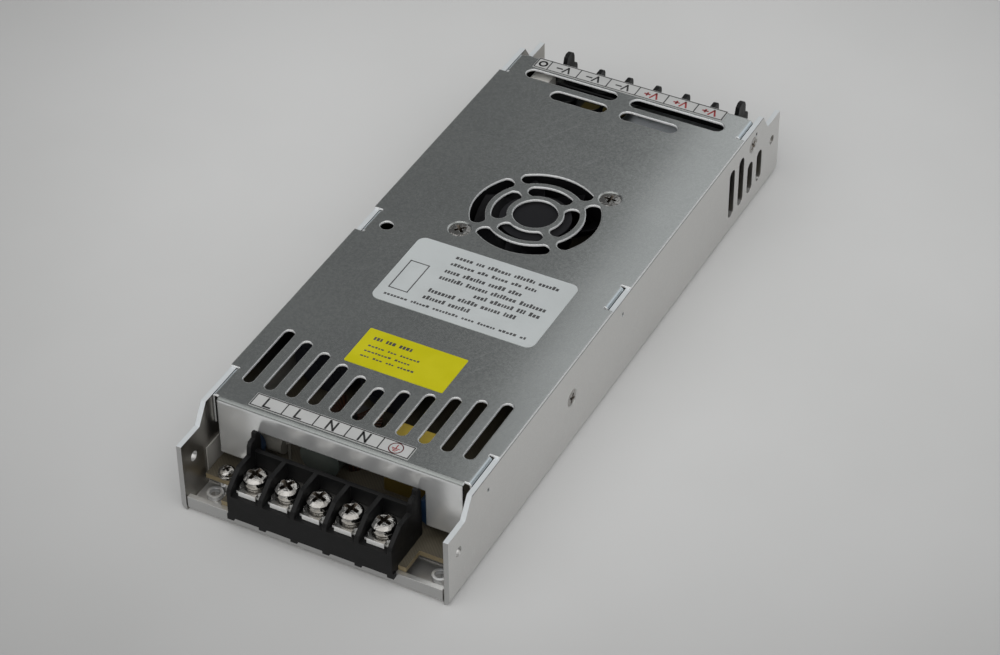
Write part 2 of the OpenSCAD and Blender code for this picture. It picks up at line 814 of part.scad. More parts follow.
ring_n = 2 * blade_points;
blade_faces = concat(
  [for (i = [0 : blade_stations - 2], j = [0 : ring_n - 1])
    [i * ring_n + j, i * ring_n + (j + 1) % ring_n, (i + 1) * ring_n + (j + 1) % ring_n]],
  [for (i = [0 : blade_stations - 2], j = [0 : ring_n - 1])
    [i * ring_n + j, (i + 1) * ring_n + (j + 1) % ring_n, (i + 1) * ring_n + j]],
  [for (j = [0 : blade_points - 2], k = [0, 1]) k == 0 ? [j, ring_n - 1 - j, j + 1]
    : [j + 1, ring_n - 1 - j, ring_n - 2 - j]],
  [for (j = [0 : blade_points - 2], k = [0, 1]) let (o = (blade_stations - 1) * ring_n)
    k == 0 ? [o + j, o + j + 1, o + ring_n - 1 - j]
    : [o + j + 1, o + ring_n - 2 - j, o + ring_n - 1 - j]]);

module blade() {
  polyhedron([for (i = [0 : blade_stations - 1], j = [0 : ring_n - 1])
    j < blade_points ? blade_point(i, j, 1) : blade_point(i, ring_n - 1 - j, -1)], blade_faces);
}

module fan_rotor() {
  boss_r = 2.2;
  color("dimgray") translate([fan_x, fan_y, 0]) {
    difference() {
      union() {
        difference() {
          translate([0, 0, hub_foot]) cylinder(hub_top - hub_foot, r = hub_r);
          translate([0, 0, hub_foot - over])
            cylinder(hub_top - hub_roof - hub_foot + over, r = hub_r - hub_wall);
        }
        translate([0, 0, hub_top - hub_roof - 0.8]) cylinder(hub_roof, r = boss_r);
        for (i = [0 : blade_n - 1]) rotate(i * 360 / blade_n) blade();
      }
      translate([0, 0, fan_floor]) cylinder(hub_top - hub_roof / 2 - fan_floor, r = shaft_r);
    }
  }
}

module fan_magnet() {
  r = hub_r - hub_wall;
  low = hub_foot + 0.4;
  color("black") translate([fan_x, fan_y, low]) difference() {
    cylinder(hub_top - hub_roof - low - 0.4, r = r);
    translate([0, 0, -over]) cylinder(fan_depth, r = r - magnet_t);
  }
}

module fan_shaft() {
  low = fan_floor + base_t / 2 + 0.3;
  color("silver") translate([fan_x, fan_y, low]) cylinder(hub_top - hub_roof / 2 - low, r = shaft_r);
}

module fan_screws() {
  color("silver") for (p = fan_screws_at) translate([p.x, p.y, case_h])
    countersunk(fan_screw_head, fan_screw_r, fan_depth);
}

// Terminal blocks, with the front face on the X axis and the inside towards +Y

foot_w = 2;
foot_h = 0.8;
clamp_front = 1.3;

module barrier(x, outline) {
  across_x(x - barrier_t / 2, x + barrier_t / 2) polygon(outline);
}

// Sides of the cells and the hook at each end. A block with horns in front has blunt barriers,
// one without has barriers that slope down to the front
module end_walls(n, horn) {
  nose_h = horn ? 1 : 4;
  nose_d = horn ? 1.5 : 5.5;
  nose_edge = 0.5;
  z = board_top + barrier_h;
  top = board_top + hook_h;
  half = n * pitch / 2;
  hook = [[hook_d, cell_z], [hook_d, z], [hook_d + 0.4, top - 2.8],
    [hook_d + 1.1, top - 1.8], [hook_d + 2.8, top - 1.6], [hook_d + 3.1, top],
    [hook_d + 4, top], [block_d, top - 2], [block_d, cell_z - over]];
  horn_shape = [[2.2, z - over], [2.2, top - 2.4], [2.9, top - 1], [4, top - 0.3], [5.6, top - 0.1],
    [7, top - 0.8], [8.6, z], [8.6, z - over]];
  wall = [[0, cell_z - over], [0, z - nose_h - nose_edge], [nose_edge, z - nose_h + nose_edge],
    [nose_d, z], [back_d + over, z], [back_d + over, cell_z - over]];
  for (i = [0 : n]) barrier(i * pitch - half, wall);
  for (x = [-half, half]) {
    barrier(x, hook);
    if (horn) barrier(x, horn_shape);
  }
}

module terminal_housing(n, horn) {
  half = (n * pitch + barrier_t) / 2;
  skirt = overhang + wall_t + fit;
  difference() {
    union() {
      box([-half, skirt, board_top], [half, block_d, cell_z]);
      box([-half, 0, lip_h + fit], [half, skirt, cell_z]);
      box([-half, back_d, board_top], [half, back_d + barrier_t, board_top + barrier_h]);
      end_walls(n, horn);
      for (i = [0 : n]) translate([(i - n / 2) * pitch, 0, 0])
        box([-foot_w / 2, 0, lip_h - foot_h], [foot_w / 2, overhang - fit, lip_h + over]);
    }
    for (i = [0 : n - 1]) translate([(i - (n - 1) / 2) * pitch, screw_d, board_top + over])
      cylinder(cell_h, r = screw_r + fit);
    contact_legs(n, board_top - over, cell_z + over, fit);
  }
}

module contacts(n) {
  plate_w = clamp_w + 0.4;
  plate_front = clamp_front + clamp_t + fit;
  color("silver") difference() {
    union() {
      for (i = [0 : n - 1]) translate([(i - (n - 1) / 2) * pitch, 0, 0])
        box([-plate_w / 2, plate_front, cell_z], [plate_w / 2, back_d - fit, contact_top]);
      contact_legs(n, board_z - 1.5, cell_z + contact_t / 2, 0);
    }
    for (i = [0 : n - 1]) translate([(i - (n - 1) / 2) * pitch, screw_d, cell_z - over])
      cylinder(contact_t + 2 * over, r = screw_r + fit);
  }
}

// Square plates with cut corners and a narrow lip bent down over the front of the contact
module clamp_plates(n) {
  lip_w = 5.2;
  corner = 1.2;
  half = clamp_w / 2;
  color("silver") for (i = [0 : n - 1]) translate([(i - (n - 1) / 2) * pitch, 0, 0]) difference() {
    union() {
      translate([0, screw_d, contact_top]) linear_extrude(clamp_t)
        polygon([[-half, half], [-half, corner - half], [corner - half, -half], [half - corner, -half],
          [half, corner - half], [half, half]]);
      box([-lip_w / 2, clamp_front, contact_top], [lip_w / 2, screw_d, clamp_top]);
      box([-lip_w / 2, clamp_front, cell_z + fit], [lip_w / 2, clamp_front + clamp_t, clamp_top]);
    }
    translate([0, screw_d, contact_top - over]) cylinder(clamp_t + 2 * over, r = screw_r + fit);
  }
}

module terminal_screws(n) {
  washer_r = 3;
  washer_t = 1;
  head_h = 2.6;
  color("silver") for (i = [0 : n - 1]) translate([(i - (n - 1) / 2) * pitch, screw_d, clamp_top]) {
    cylinder(washer_t, r = washer_r);
    translate([0, 0, washer_t]) pan_screw(screw_head_r, head_h, screw_r, clamp_top - board_top - over);
  }
}

module ac_terminal_housing() {
  color("black") at_input() terminal_housing(ac_n, false);
}

module ac_contacts() {
  at_input() contacts(ac_n);
}

module ac_clamp_plates() {
  at_input() clamp_plates(ac_n);
}

module ac_terminal_screws() {
  at_input() terminal_screws(ac_n);
}

module dc_terminal_housing() {
  color("black") at_output() terminal_housing(dc_n, true);
}

module dc_contacts() {
  at_output() contacts(dc_n);
}

module dc_clamp_plates() {
  at_output() clamp_plates(dc_n);
}

module dc_terminal_screws() {
  at_output() terminal_screws(dc_n);
}

// Trimmer at the left of the output block

trimmer_w = board_x - dc_half - 2 * trimmer_room;
trimmer_r = min(trimmer_w, trimmer_l) / 3;
trimmer_edge = 0.4;
trimmer_at = [-(dc_half + board_x) / 2, board_y - trimmer_l / 2 - trimmer_edge];
trimmer_top = board_top + trimmer_h;
trimmer_pocket = 2;

module trimmer_body() {
  color("royalblue") translate([trimmer_at.x, trimmer_at.y, board_top]) difference() {
    linear_extrude(trimmer_h) plate_2d(trimmer_w, trimmer_l, 0.5);
    translate([0, 0, trimmer_h - trimmer_pocket]) cylinder(trimmer_h, r = trimmer_r + run);
  }
}

module trimmer_screw() {
  slot_w = 0.7;
  slot_d = 0.8;
  proud = 0.3;
  color("gold") translate([trimmer_at.x, trimmer_at.y, trimmer_top - trimmer_pocket + run]) difference() {
    cylinder(trimmer_pocket + proud, r = trimmer_r);
    box([-trimmer_r - over, -slot_w / 2, trimmer_pocket + proud - slot_d],
      [trimmer_r + over, slot_w / 2, trimmer_pocket + proud + over]);
  }
}

// Input filter: places behind the front flange, and the choke's sizes

choke_x = -9;
choke_end = 20;
film_end = 14.45;
fuse_end = 9;
disc_end = 7.2;
safety_end = 3.4;
lead_r = 0.4;
choke_at = [choke_x, cover_front + choke_end];
choke_in = 4.2;
choke_out = 8.2;
choke_h = 8;
choke_wire = 1.3;

// A sleeved fuse across the input, held up by its two bent leads
module line_fuse() {
  r = 3.1;
  l = 15;
  wall_room = 10;
  bend = 0.8;
  lead_x = l / 2 + bend;
  rise = 5.3;
  color("linen") translate([-inner_x + wall_room, cover_front + fuse_end, board_top]) {
    translate([-l / 2, 0, rise]) rotate([0, 90, 0]) cylinder(l, r = r);
    translate([-lead_x, 0, rise]) rotate([0, 90, 0]) cylinder(2 * lead_x, r = lead_r);
    for (side = [-1, 1]) translate([side * lead_x, 0, 0]) cylinder(rise + lead_r, r = lead_r);
  }
}

module inrush_thermistor() {
  r = 6;
  t = 4.5;
  lead = 2;
  translate([choke_x, cover_front + disc_end, board_top]) color("darkslategray") {
    translate([0, t / 2, r + lead]) rotate([90, 0, 0]) cylinder(t, r = r);
    for (x = [-1, 1]) translate([x * r / 2, 0, 0]) cylinder(r + lead, r = lead_r);
  }
}

module x_capacitor() {
  w = 13;
  d = 8.7;
  h = 17.5;
  wall_room = 19.05;
  color("gold") translate([inner_x - wall_room - w / 2, cover_front + film_end, board_top])
    linear_extrude(h) plate_2d(w, d, 0.8);
}

module y_capacitors() {
  r = 4.5;
  t = 3.6;
  lead = 1.6;
  left_room = 9;
  right_room = 12.75;
  for (x = [-inner_x + left_room, inner_x - right_room])
    translate([x, cover_front + safety_end, board_top]) color("royalblue") {
      translate([0, t / 2, r + lead]) rotate([90, 0, 0]) cylinder(t, r = r);
      for (side = [-1, 1]) translate([side * r / 2, 0, 0]) cylinder(r + lead, r = lead_r);
    }
}

module line_choke_core() {
  color("dimgray") translate([choke_at.x, choke_at.y, board_top + choke_wire + fit]) rotate_extrude()
    translate([choke_in, 0]) square([choke_out - choke_in, choke_h]);
}

module line_choke_coils() {
  color("peru") translate([choke_at.x, choke_at.y, board_top]) for (turn = [-60, 120]) rotate(turn)
    rotate_extrude(angle = 120) difference() {
      translate([choke_in - choke_wire, 0])
        square([choke_out - choke_in + 2 * choke_wire, choke_h + 2 * (choke_wire + fit)]);
      translate([choke_in - fit, choke_wire]) square([choke_out - choke_in + 2 * fit, choke_h + 2 * fit]);
    }
}

// Primary side

bulk_front = choke_at.y + choke_out + choke_wire + bulk_room_front;
bulk_l = fan_y - fan_size / 2 - bulk_room_rear - bulk_front;
bulk_side = 3.2;
bulk_gap = 1.5;

module bulk_capacitors() {
  for (i = [0, 1]) translate([-inner_x + bulk_side + bulk_r + i * (2 * bulk_r + bulk_gap),
    bulk_front, board_top + bulk_r + fit]) rotate([-90, 0, 0])
      color("midnightblue") can(bulk_r, bulk_l);
}

bar_foot = 0.4;
bar_drop = 3.5;
bar_low = board_top + bar_foot;
bar_high = wall_top - bar_drop;

module primary_heat_bar() {
  color("silver") difference() {
    box([inner_x - bar_t, bar_y - bar_l / 2, bar_low], [inner_x, bar_y + bar_l / 2, bar_high]);
    translate([inner_x + over, bar_y, bar_screw_z]) rotate([0, -90, 0])
      cylinder(bar_t + 2 * over, r = wall_screw_r + run);
  }
}

module heat_bar_screw() {
  color("silver") translate([case_w / 2, bar_y, bar_screw_z]) rotate([0, 90, 0])
    countersunk(wall_screw_head, wall_screw_r, wall_t + bar_t - fit);
}

package_w = 10;
package_h = 10;
package_t = 4.5;
package_foot = 2;

module primary_transistors() {
  for (side = [-1, 1]) translate([inner_x - bar_t, bar_y + side * (bar_l / 2 - package_w / 2 - 0.5),
    board_top + package_foot]) rotate(-90) color("black")
      power_package(package_w, package_h, package_t, package_foot);
}

module bridge_rectifier() {
  w = 17;
  t = 3.6;
  h = 14;
  color("black") box([inner_x - bar_t - t, bar_y - w / 2, board_top], [inner_x - bar_t, bar_y + w / 2,
    board_top + h]);
}

// Transformer and output side

out_choke_x = 11;
out_choke_r = 8;
out_choke_gap = 1.25;
can_room = 0.6;
resistor_w = 6.2;
resistor_x = 9.65;
caps_front = cover_rear - cover_t - can_room - 2 * out_cap_r;
core_front = fan_y + fan_size / 2 + core_room_front;
core_l = caps_front - core_room_rear - core_front;
transformer_at = [-inner_x + out_choke_x + out_choke_r + out_choke_gap + core_w / 2,
  core_front + core_l / 2];
post_w = 8;
yoke_t = 6;
window_l = core_l - 2 * yoke_t;
coil_t = 5;
coil_rise = 4;
core_z = board_top + coil_rise;

module transformer_core() {
  leg_w = (core_w - post_w - 2 * (coil_t + 0.8)) / 2;
  color("dimgray") translate([transformer_at.x, transformer_at.y, core_z]) linear_extrude(core_t)
    difference() {
      square([core_w, core_l], center = true);
      for (side = [-1, 1]) translate([side * (core_w / 2 - leg_w - (coil_t + 0.8) / 2), 0])
        square([coil_t + 0.8, window_l], center = true);
    }
}

module transformer_coil() {
  w = post_w + 2 * coil_t;
  h = core_t + 2 * coil_rise;
  l = window_l - 2 * fit;
  color("goldenrod") translate([transformer_at.x, transformer_at.y, 0]) along_y(-l / 2, l / 2)
    difference() {
      translate([0, board_top + h / 2]) plate_2d(w, h, 2);
      translate([0, core_z + core_t / 2]) square([post_w + 2 * fit, core_t + 2 * fit], center = true);
    }
}

sink_gap = 1;
sink_wing = 8.7;
sink_left = transformer_at.x + core_w / 2 + sink_gap;
sink_w = board_x - sink_room - sink_left;
sink_at = [sink_left + sink_w / 2, rear - sink_end];
sink_top = wall_top - sink_drop;

// An upright sheet with a flat top, and a thin wing that reaches over the end of the transformer core
module output_heatsink() {
  wing_t = 1.2;
  wing_y = transformer_at.y + window_l / 2 + sink_gap - sink_at.y;
  color("silver") translate([sink_at.x, sink_at.y, 0]) {
    box([-sink_w / 2 - sink_wing, wing_y, sink_top - wing_t], [0, sink_d, sink_top]);
    box([-sink_w / 2, 0, board_top], [sink_w / 2, sink_t, sink_top]);
    box([-sink_w / 2, 0, sink_top - sink_t], [sink_w / 2, sink_d, sink_top]);
  }
}

module output_rectifiers() {
  body_h = 9;
  edge = 1.1;
  gap = 0.8;
  w = (sink_w - gap) / 2 - edge;
  for (x = [-1, 1]) translate([sink_at.x + x * (w + gap) / 2, sink_at.y, board_top + package_foot])
    color("black") power_package(w, body_h, package_t, package_foot);
}

module output_choke() {
  r_in = 3;
  h = 11;
  translate([-inner_x + out_choke_x, transformer_at.y, board_top]) color("peru") rotate_extrude()
    translate([r_in, 0]) plate_corner_2d(out_choke_r - r_in, h, 1.5);
}

// A rectangle with rounded corners, its lower left corner at the origin
module plate_corner_2d(w, h, r) {
  translate([w / 2, h / 2]) plate_2d(w, h, r);
}

module output_capacitors() {
  count = 3;
  gap = 0.8;
  side_gap = 0.5;
  step = 2 * out_cap_r + gap;
  first = resistor_x + resistor_w / 2 + side_gap + out_cap_r;
  for (i = [0 : count - 1]) translate([-inner_x + first + i * step, caps_front + out_cap_r, board_top])
    color("black") can(out_cap_r, out_cap_h);
}

module load_resistor() {
  d = 6.5;
  h = 19;
  color("white") translate([-inner_x + resistor_x, cover_rear - cover_t - d / 2 - can_room, board_top])
    linear_extrude(h) plate_2d(resistor_w, d, 0.4);
}

// Stickers on the cover

module sticker(x, y, w, l, r) {
  translate([x, y, case_h]) linear_extrude(label_t) plate_2d(w, l, r);
}

module rating_label() {
  color("whitesmoke") sticker(white_x, white_y, white_w, white_l, white_r);
}

// The yellow label lies just behind the slots that its width crosses
slots_beside = floor(yellow_w / 2 / vent_pitch);
yellow_y = cover_front + vent_start + vent_mid_l + slots_beside * vent_step + yellow_gap + yellow_l / 2;

module yellow_label() {
  color("gold") sticker(yellow_x, yellow_y, yellow_w, yellow_l, 0.4);
}

strip_room = 1.75;
rear_strip_room = 0.4;

module ac_marking_strip() {
  color("white") sticker(ac_strip_x, cover_front + strip_room + strip_l / 2, ac_strip_w, strip_l, 0.2);
}

module dc_marking_strip() {
  color("white") sticker(dc_strip_x, cover_rear - strip_l / 2 - rear_strip_room, dc_strip_w, strip_l, 0.2);
}

chassis();
insulation_sheet();
main_board();
board_screws();
top_cover();
cover_screws();
fan_frame();
fan_bush();
fan_stator();
fan_rotor();
fan_magnet();
fan_shaft();
fan_screws();
ac_terminal_housing();
ac_contacts();
ac_clamp_plates();
ac_terminal_screws();
dc_terminal_housing();
dc_contacts();
dc_clamp_plates();
dc_terminal_screws();
trimmer_body();
trimmer_screw();
line_fuse();
inrush_thermistor();
x_capacitor();
y_capacitors();
line_choke_core();
line_choke_coils();
bridge_rectifier();
bulk_capacitors();
primary_heat_bar();
heat_bar_screw();
primary_transistors();
transformer_core();
transformer_coil();
output_heatsink();
output_rectifiers();
output_choke();
output_capacitors();
load_resistor();
rating_label();
yellow_label();
ac_marking_strip();
dc_marking_strip();
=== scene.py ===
import math
import random

import bmesh
import bpy
from mathutils import Matrix, Vector


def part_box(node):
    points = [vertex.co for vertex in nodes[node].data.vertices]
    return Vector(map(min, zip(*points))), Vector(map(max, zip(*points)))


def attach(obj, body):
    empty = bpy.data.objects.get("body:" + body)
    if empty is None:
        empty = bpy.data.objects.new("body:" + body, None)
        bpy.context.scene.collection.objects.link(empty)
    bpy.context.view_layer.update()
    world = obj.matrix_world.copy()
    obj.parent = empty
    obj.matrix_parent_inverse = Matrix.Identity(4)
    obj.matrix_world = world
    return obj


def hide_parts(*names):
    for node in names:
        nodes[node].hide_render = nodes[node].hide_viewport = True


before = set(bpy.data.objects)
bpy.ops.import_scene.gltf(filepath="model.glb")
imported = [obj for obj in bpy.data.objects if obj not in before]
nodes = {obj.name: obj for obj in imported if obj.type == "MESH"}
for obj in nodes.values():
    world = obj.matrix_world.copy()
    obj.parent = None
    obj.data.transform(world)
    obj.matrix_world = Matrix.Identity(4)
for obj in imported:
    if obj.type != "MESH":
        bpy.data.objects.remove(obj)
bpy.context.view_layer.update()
mm = 0.001
scene = bpy.context.scene
scene.view_settings.view_transform = "Standard"
print("frame loaded:", len(nodes), "nodes")

# camera, lamps and room

cameraView = {
    "place": (0.301286, -0.568568, 0.534957),
    "azimuth": 27.91,
    "elevation": 39.74,
    "roll": -0.537,
    "lens": 104.485,
    "sensor": 36,
    "nearest": 0.01,
}


def makeCamera(view):
    az, el, roll = (math.radians(view[k]) for k in ("azimuth", "elevation", "roll"))
    ahead = Vector((-math.sin(az) * math.cos(el), math.cos(az) * math.cos(el), -math.sin(el)))
    side = Vector((math.cos(az), math.sin(az), 0))
    up = side.cross(ahead)
    right = side * math.cos(roll) + up * math.sin(roll)
    top = up * math.cos(roll) - side * math.sin(roll)
    data = bpy.data.cameras.new("photoCamera")
    data.lens = view["lens"]
    data.sensor_width = view["sensor"]
    data.sensor_fit = "HORIZONTAL"
    data.clip_start = view["nearest"]
    camera = bpy.data.objects.new("photoCamera", data)
    turn = Matrix((right, top, -ahead)).transposed().to_4x4()
    camera.matrix_world = Matrix.Translation(view["place"]) @ turn
    scene.collection.objects.link(camera)
    scene.camera = camera


lamps = [
    # name, place, target, size, watts, colour
    ("ceilingSoftbox", (-0.10, -0.58, 1.0), (0, -0.02, 0), 1.9, 6.6, (1.0, 0.995, 0.985)),
    ("backSoftbox", (0.30, 1.4, 0.8), (0, 0, 0), 1.5, 2.9, (0.96, 0.985, 1.0)),
]


def makeLamps(rows):
    for name, place, target, size, watts, colour in rows:
        data = bpy.data.lights.new(name, "AREA")
        data.size = size
        data.energy = watts
        data.color = colour
        lamp = bpy.data.objects.new(name, data)
        lamp.location = place
        lamp.rotation_euler = (Vector(target) - Vector(place)).to_track_quat("-Z", "Y").to_euler()
        scene.collection.objects.link(lamp)


# small node helpers

def addNode(tree, kind, **settings):
    node = tree.nodes.new(kind)
    for key, value in settings.items():
        setattr(node, key, value)
    return node


def feed(tree, socket, value):
    if isinstance(value, bpy.types.NodeSocket):
        tree.links.new(value, socket)
    elif socket.type == "RGBA":
        socket.default_value = (*value, 1)
    else:
        socket.default_value = value


def calc(tree, operation, first, second=0.0):
    node = addNode(tree, "ShaderNodeMath", operation=operation)
    feed(tree, node.inputs[0], first)
    feed(tree, node.inputs[1], second)
    return node.outputs[0]


def times(tree, *factors):
    product = factors[0]
    for factor in factors[1:]:
        product = calc(tree, "MULTIPLY", product, factor)
    return product


def above(tree, value, limit):
    return calc(tree, "GREATER_THAN", value, limit)


def below(tree, value, limit):
    return calc(tree, "LESS_THAN", value, limit)


def absolute(tree, value):
    return calc(tree, "ABSOLUTE", value)


def remap(tree, value, lowIn, highIn, lowOut=0.0, highOut=1.0):
    node = addNode(tree, "ShaderNodeMapRange", interpolation_type="SMOOTHSTEP")
    feed(tree, node.inputs["Value"], value)
    for key, number in (("From Min", lowIn), ("From Max", highIn), ("To Min", lowOut), ("To Max", highOut)):
        feed(tree, node.inputs[key], number)
    return node.outputs["Result"]


def mixColour(tree, factor, first, second, blend="MIX"):
    node = addNode(tree, "ShaderNodeMix", data_type="RGBA", blend_type=blend)
    feed(tree, node.inputs["Factor"], factor)
    feed(tree, node.inputs["A"], first)
    feed(tree, node.inputs["B"], second)
    return node.outputs["Result"]


def noise(tree, vector, scale, detail=3.0, roughness=0.55):
    node = addNode(tree, "ShaderNodeTexNoise")
    feed(tree, node.inputs["Vector"], vector)
    feed(tree, node.inputs["Scale"], scale)
    feed(tree, node.inputs["Detail"], detail)
    feed(tree, node.inputs["Roughness"], roughness)
    return node.outputs["Fac"]


def splitVector(tree, vector):
    node = addNode(tree, "ShaderNodeSeparateXYZ")
    feed(tree, node.inputs[0], vector)
    return node.outputs["X"], node.outputs["Y"], node.outputs["Z"]


def joinVector(tree, x, y, z):
    node = addNode(tree, "ShaderNodeCombineXYZ")
    for socket, value in zip(node.inputs, (x, y, z)):
        feed(tree, socket, value)
    return node.outputs[0]


def vectorMath(tree, operation, first, second, output=0):
    node = addNode(tree, "ShaderNodeVectorMath", operation=operation)
    feed(tree, node.inputs[0], first)
    feed(tree, node.inputs[1], second)
    return node.outputs[output]


def faceNormal(tree):
    return addNode(tree, "ShaderNodeNewGeometry").outputs["Normal"]


def bumpFrom(tree, height, strength, distance, normal):
    node = addNode(tree, "ShaderNodeBump")
    feed(tree, node.inputs["Strength"], strength)
    feed(tree, node.inputs["Distance"], distance)
    feed(tree, node.inputs["Height"], height)
    feed(tree, node.inputs["Normal"], normal)
    return node.outputs["Normal"]


roomLight = {
    "dark": (0.152, 0.156, 0.158),
    "bright": (0.95, 0.945, 0.935),
    "towards": (0.55, -0.78, 0.30),
    "from": -0.35,
    "to": 0.9,
}


def makeRoom(room):
    world = bpy.data.worlds.new("studioRoom")
    scene.world = world
    world.use_nodes = True
    tree = world.node_tree
    tree.nodes.clear()
    out = addNode(tree, "ShaderNodeOutputWorld")
    back = addNode(tree, "ShaderNodeBackground")
    coords = addNode(tree, "ShaderNodeTexCoord").outputs["Generated"]
    facing = vectorMath(tree, "DOT_PRODUCT", coords, room["towards"], "Value")
    part = remap(tree, facing, room["from"], room["to"])
    feed(tree, back.inputs["Color"], mixColour(tree, part, room["dark"], room["bright"]))
    feed(tree, out.inputs["Surface"], back.outputs["Background"])


makeCamera(cameraView)
makeLamps(lamps)
makeRoom(roomLight)
print("camera, lamps and room ready")

# shader groups that several finishes share

def newGroup(name, takes, gives):
    tree = bpy.data.node_groups.new(name, "ShaderNodeTree")
    for socketName, kind, value in takes:
        socket = tree.interface.new_socket(socketName, in_out="INPUT", socket_type=kind)
        if value is not None:
            socket.default_value = value
    for socketName, kind in gives:
        tree.interface.new_socket(socketName, in_out="OUTPUT", socket_type=kind)
    given = addNode(tree, "NodeGroupInput")
    made = addNode(tree, "NodeGroupOutput")
    return tree, given.outputs, made.inputs


def useGroup(tree, group, **values):
    node = addNode(tree, "ShaderNodeGroup", node_tree=group)
    for key, value in values.items():
        feed(tree, node.inputs[key], value)
    return node.outputs


def makeRolledGrain():
    tree, given, made = newGroup(
        "rolledGrain",
        [("Vector", "NodeSocketVector", None), ("Stretch", "NodeSocketVector", (900, 60, 900)),
         ("Speckle", "NodeSocketFloat", 1300.0), ("Clouds", "NodeSocketFloat", 40.0)],
        [("Streaks", "NodeSocketFloat"), ("Speckle", "NodeSocketFloat"), ("Clouds", "NodeSocketFloat")])
    drawn = vectorMath(tree, "MULTIPLY", given["Vector"], given["Stretch"])
    feed(tree, made["Streaks"], remap(tree, noise(tree, drawn, 1.0, 4.0), 0.3, 0.7))
    feed(tree, made["Speckle"], remap(tree, noise(tree, given["Vector"], given["Speckle"], 2.0), 0.3, 0.7))
    feed(tree, made["Clouds"], remap(tree, noise(tree, given["Vector"], given["Clouds"], 4.0), 0.3, 0.7))
    return tree


def makeEdgeRoundAndGlint():
    tree, given, made = newGroup(
        "edgeRoundAndGlint", [("Radius", "NodeSocketFloat", 0.0002)],
        [("Normal", "NodeSocketVector"), ("Highlight Edge", "NodeSocketFloat")])
    rounded = addNode(tree, "ShaderNodeBevel", samples=6)
    feed(tree, rounded.inputs["Radius"], given["Radius"])
    agree = vectorMath(tree, "DOT_PRODUCT", rounded.outputs["Normal"], faceNormal(tree), "Value")
    feed(tree, made["Normal"], rounded.outputs["Normal"])
    # the edge mask marks where the materials paint a highlight
    feed(tree, made["Highlight Edge"], remap(tree, agree, 0.99, 0.8))
    return tree


def makeScuffs():
    tree, given, made = newGroup(
        "scuffs",
        [("Vector", "NodeSocketVector", None), ("Angle", "NodeSocketFloat", 0.6),
         ("Fineness", "NodeSocketFloat", 900.0), ("Length", "NodeSocketFloat", 30.0),
         ("Depth", "NodeSocketFloat", 200.0), ("Patches", "NodeSocketFloat", 28.0)],
        [("Scuffs", "NodeSocketFloat")])
    turned = addNode(tree, "ShaderNodeVectorRotate", rotation_type="Z_AXIS")
    feed(tree, turned.inputs["Vector"], given["Vector"])
    feed(tree, turned.inputs["Angle"], given["Angle"])
    x, y, z = splitVector(tree, turned.outputs["Vector"])
    drawn = joinVector(tree, times(tree, x, given["Fineness"]), times(tree, y, given["Length"]),
                       times(tree, z, given["Depth"]))
    lines = remap(tree, noise(tree, drawn, 1.0, 2.0), 0.62, 0.72)
    patches = remap(tree, noise(tree, given["Vector"], given["Patches"], 3.0), 0.52, 0.68)
    feed(tree, made["Scuffs"], times(tree, lines, patches))
    return tree


def makeDustFilm():
    tree, given, made = newGroup(
        "dustFilm",
        [("Vector", "NodeSocketVector", None), ("Scale", "NodeSocketFloat", 120.0),
         ("Amount", "NodeSocketFloat", 0.2)],
        [("Dust", "NodeSocketFloat")])
    upward = remap(tree, splitVector(tree, faceNormal(tree))[2], 0.25, 0.95)
    flecks = remap(tree, noise(tree, given["Vector"], given["Scale"], 5.0, 0.65), 0.35, 0.75)
    feed(tree, made["Dust"], times(tree, upward, flecks, given["Amount"]))
    return tree


def makeMouldGrain():
    tree, given, made = newGroup(
        "mouldGrain",
        [("Vector", "NodeSocketVector", None), ("Grain", "NodeSocketFloat", 2500.0),
         ("Mottle", "NodeSocketFloat", 160.0)],
        [("Height", "NodeSocketFloat"), ("Mottle", "NodeSocketFloat")])
    feed(tree, made["Height"], noise(tree, given["Vector"], given["Grain"], 2.0))
    feed(tree, made["Mottle"], remap(tree, noise(tree, given["Vector"], given["Mottle"], 4.0), 0.3, 0.7))
    return tree


rolledGrain = makeRolledGrain()
edgeRoundAndGlint = makeEdgeRoundAndGlint()
scuffMarks = makeScuffs()
dustFilm = makeDustFilm()
mouldGrain = makeMouldGrain()
print("shader groups ready")

# finishes

def newMaterial(name):
    material = bpy.data.materials.new(name)
    material.use_nodes = True
    tree = material.node_tree
    shader = tree.nodes["Principled BSDF"]
    coords = addNode(tree, "ShaderNodeTexCoord").outputs["Object"]
    return material, tree, shader, coords


# folded sheet metal

halfWidth, halfLength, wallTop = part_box("chassis")[1]
coverLook = {
    "dark": (0.555, 0.572, 0.56), "light": (0.68, 0.696, 0.68), "rough": (0.205, 0.245), "metal": 1.0,
    "stretch": (1500, 1500, 1500), "speckle": 1500.0, "clouds": 34.0, "bump": 0.007,
    "edge": 0.5 * mm, "rim": (0.96, 0.97, 0.98), "rimAmount": 0.8,
    "scuff": (0.85, 0.86, 0.86), "scuffAmount": 0.35, "scuffAngle": 0.5,
    "cutAbove": wallTop + 0.02 * mm, "cutColour": (0.94, 0.95, 0.96), "cutLean": (-0.3, 0.3),
    "foldBeyond": halfWidth - 3.35 * mm, "foldTintAndReflection": (0.74, 0.82, 0.87),
    "crown": 1.05 * mm, "crownHalf": halfWidth - 3.25 * mm, "frontFold": (0.42, 0.43, 0.43),
    "endMetal": 0.7, "endColour": (0.86, 0.87, 0.87),
    "inside": (0.3, 0.3, 0.3), "insideBelow": wallTop - 0.05 * mm,
}
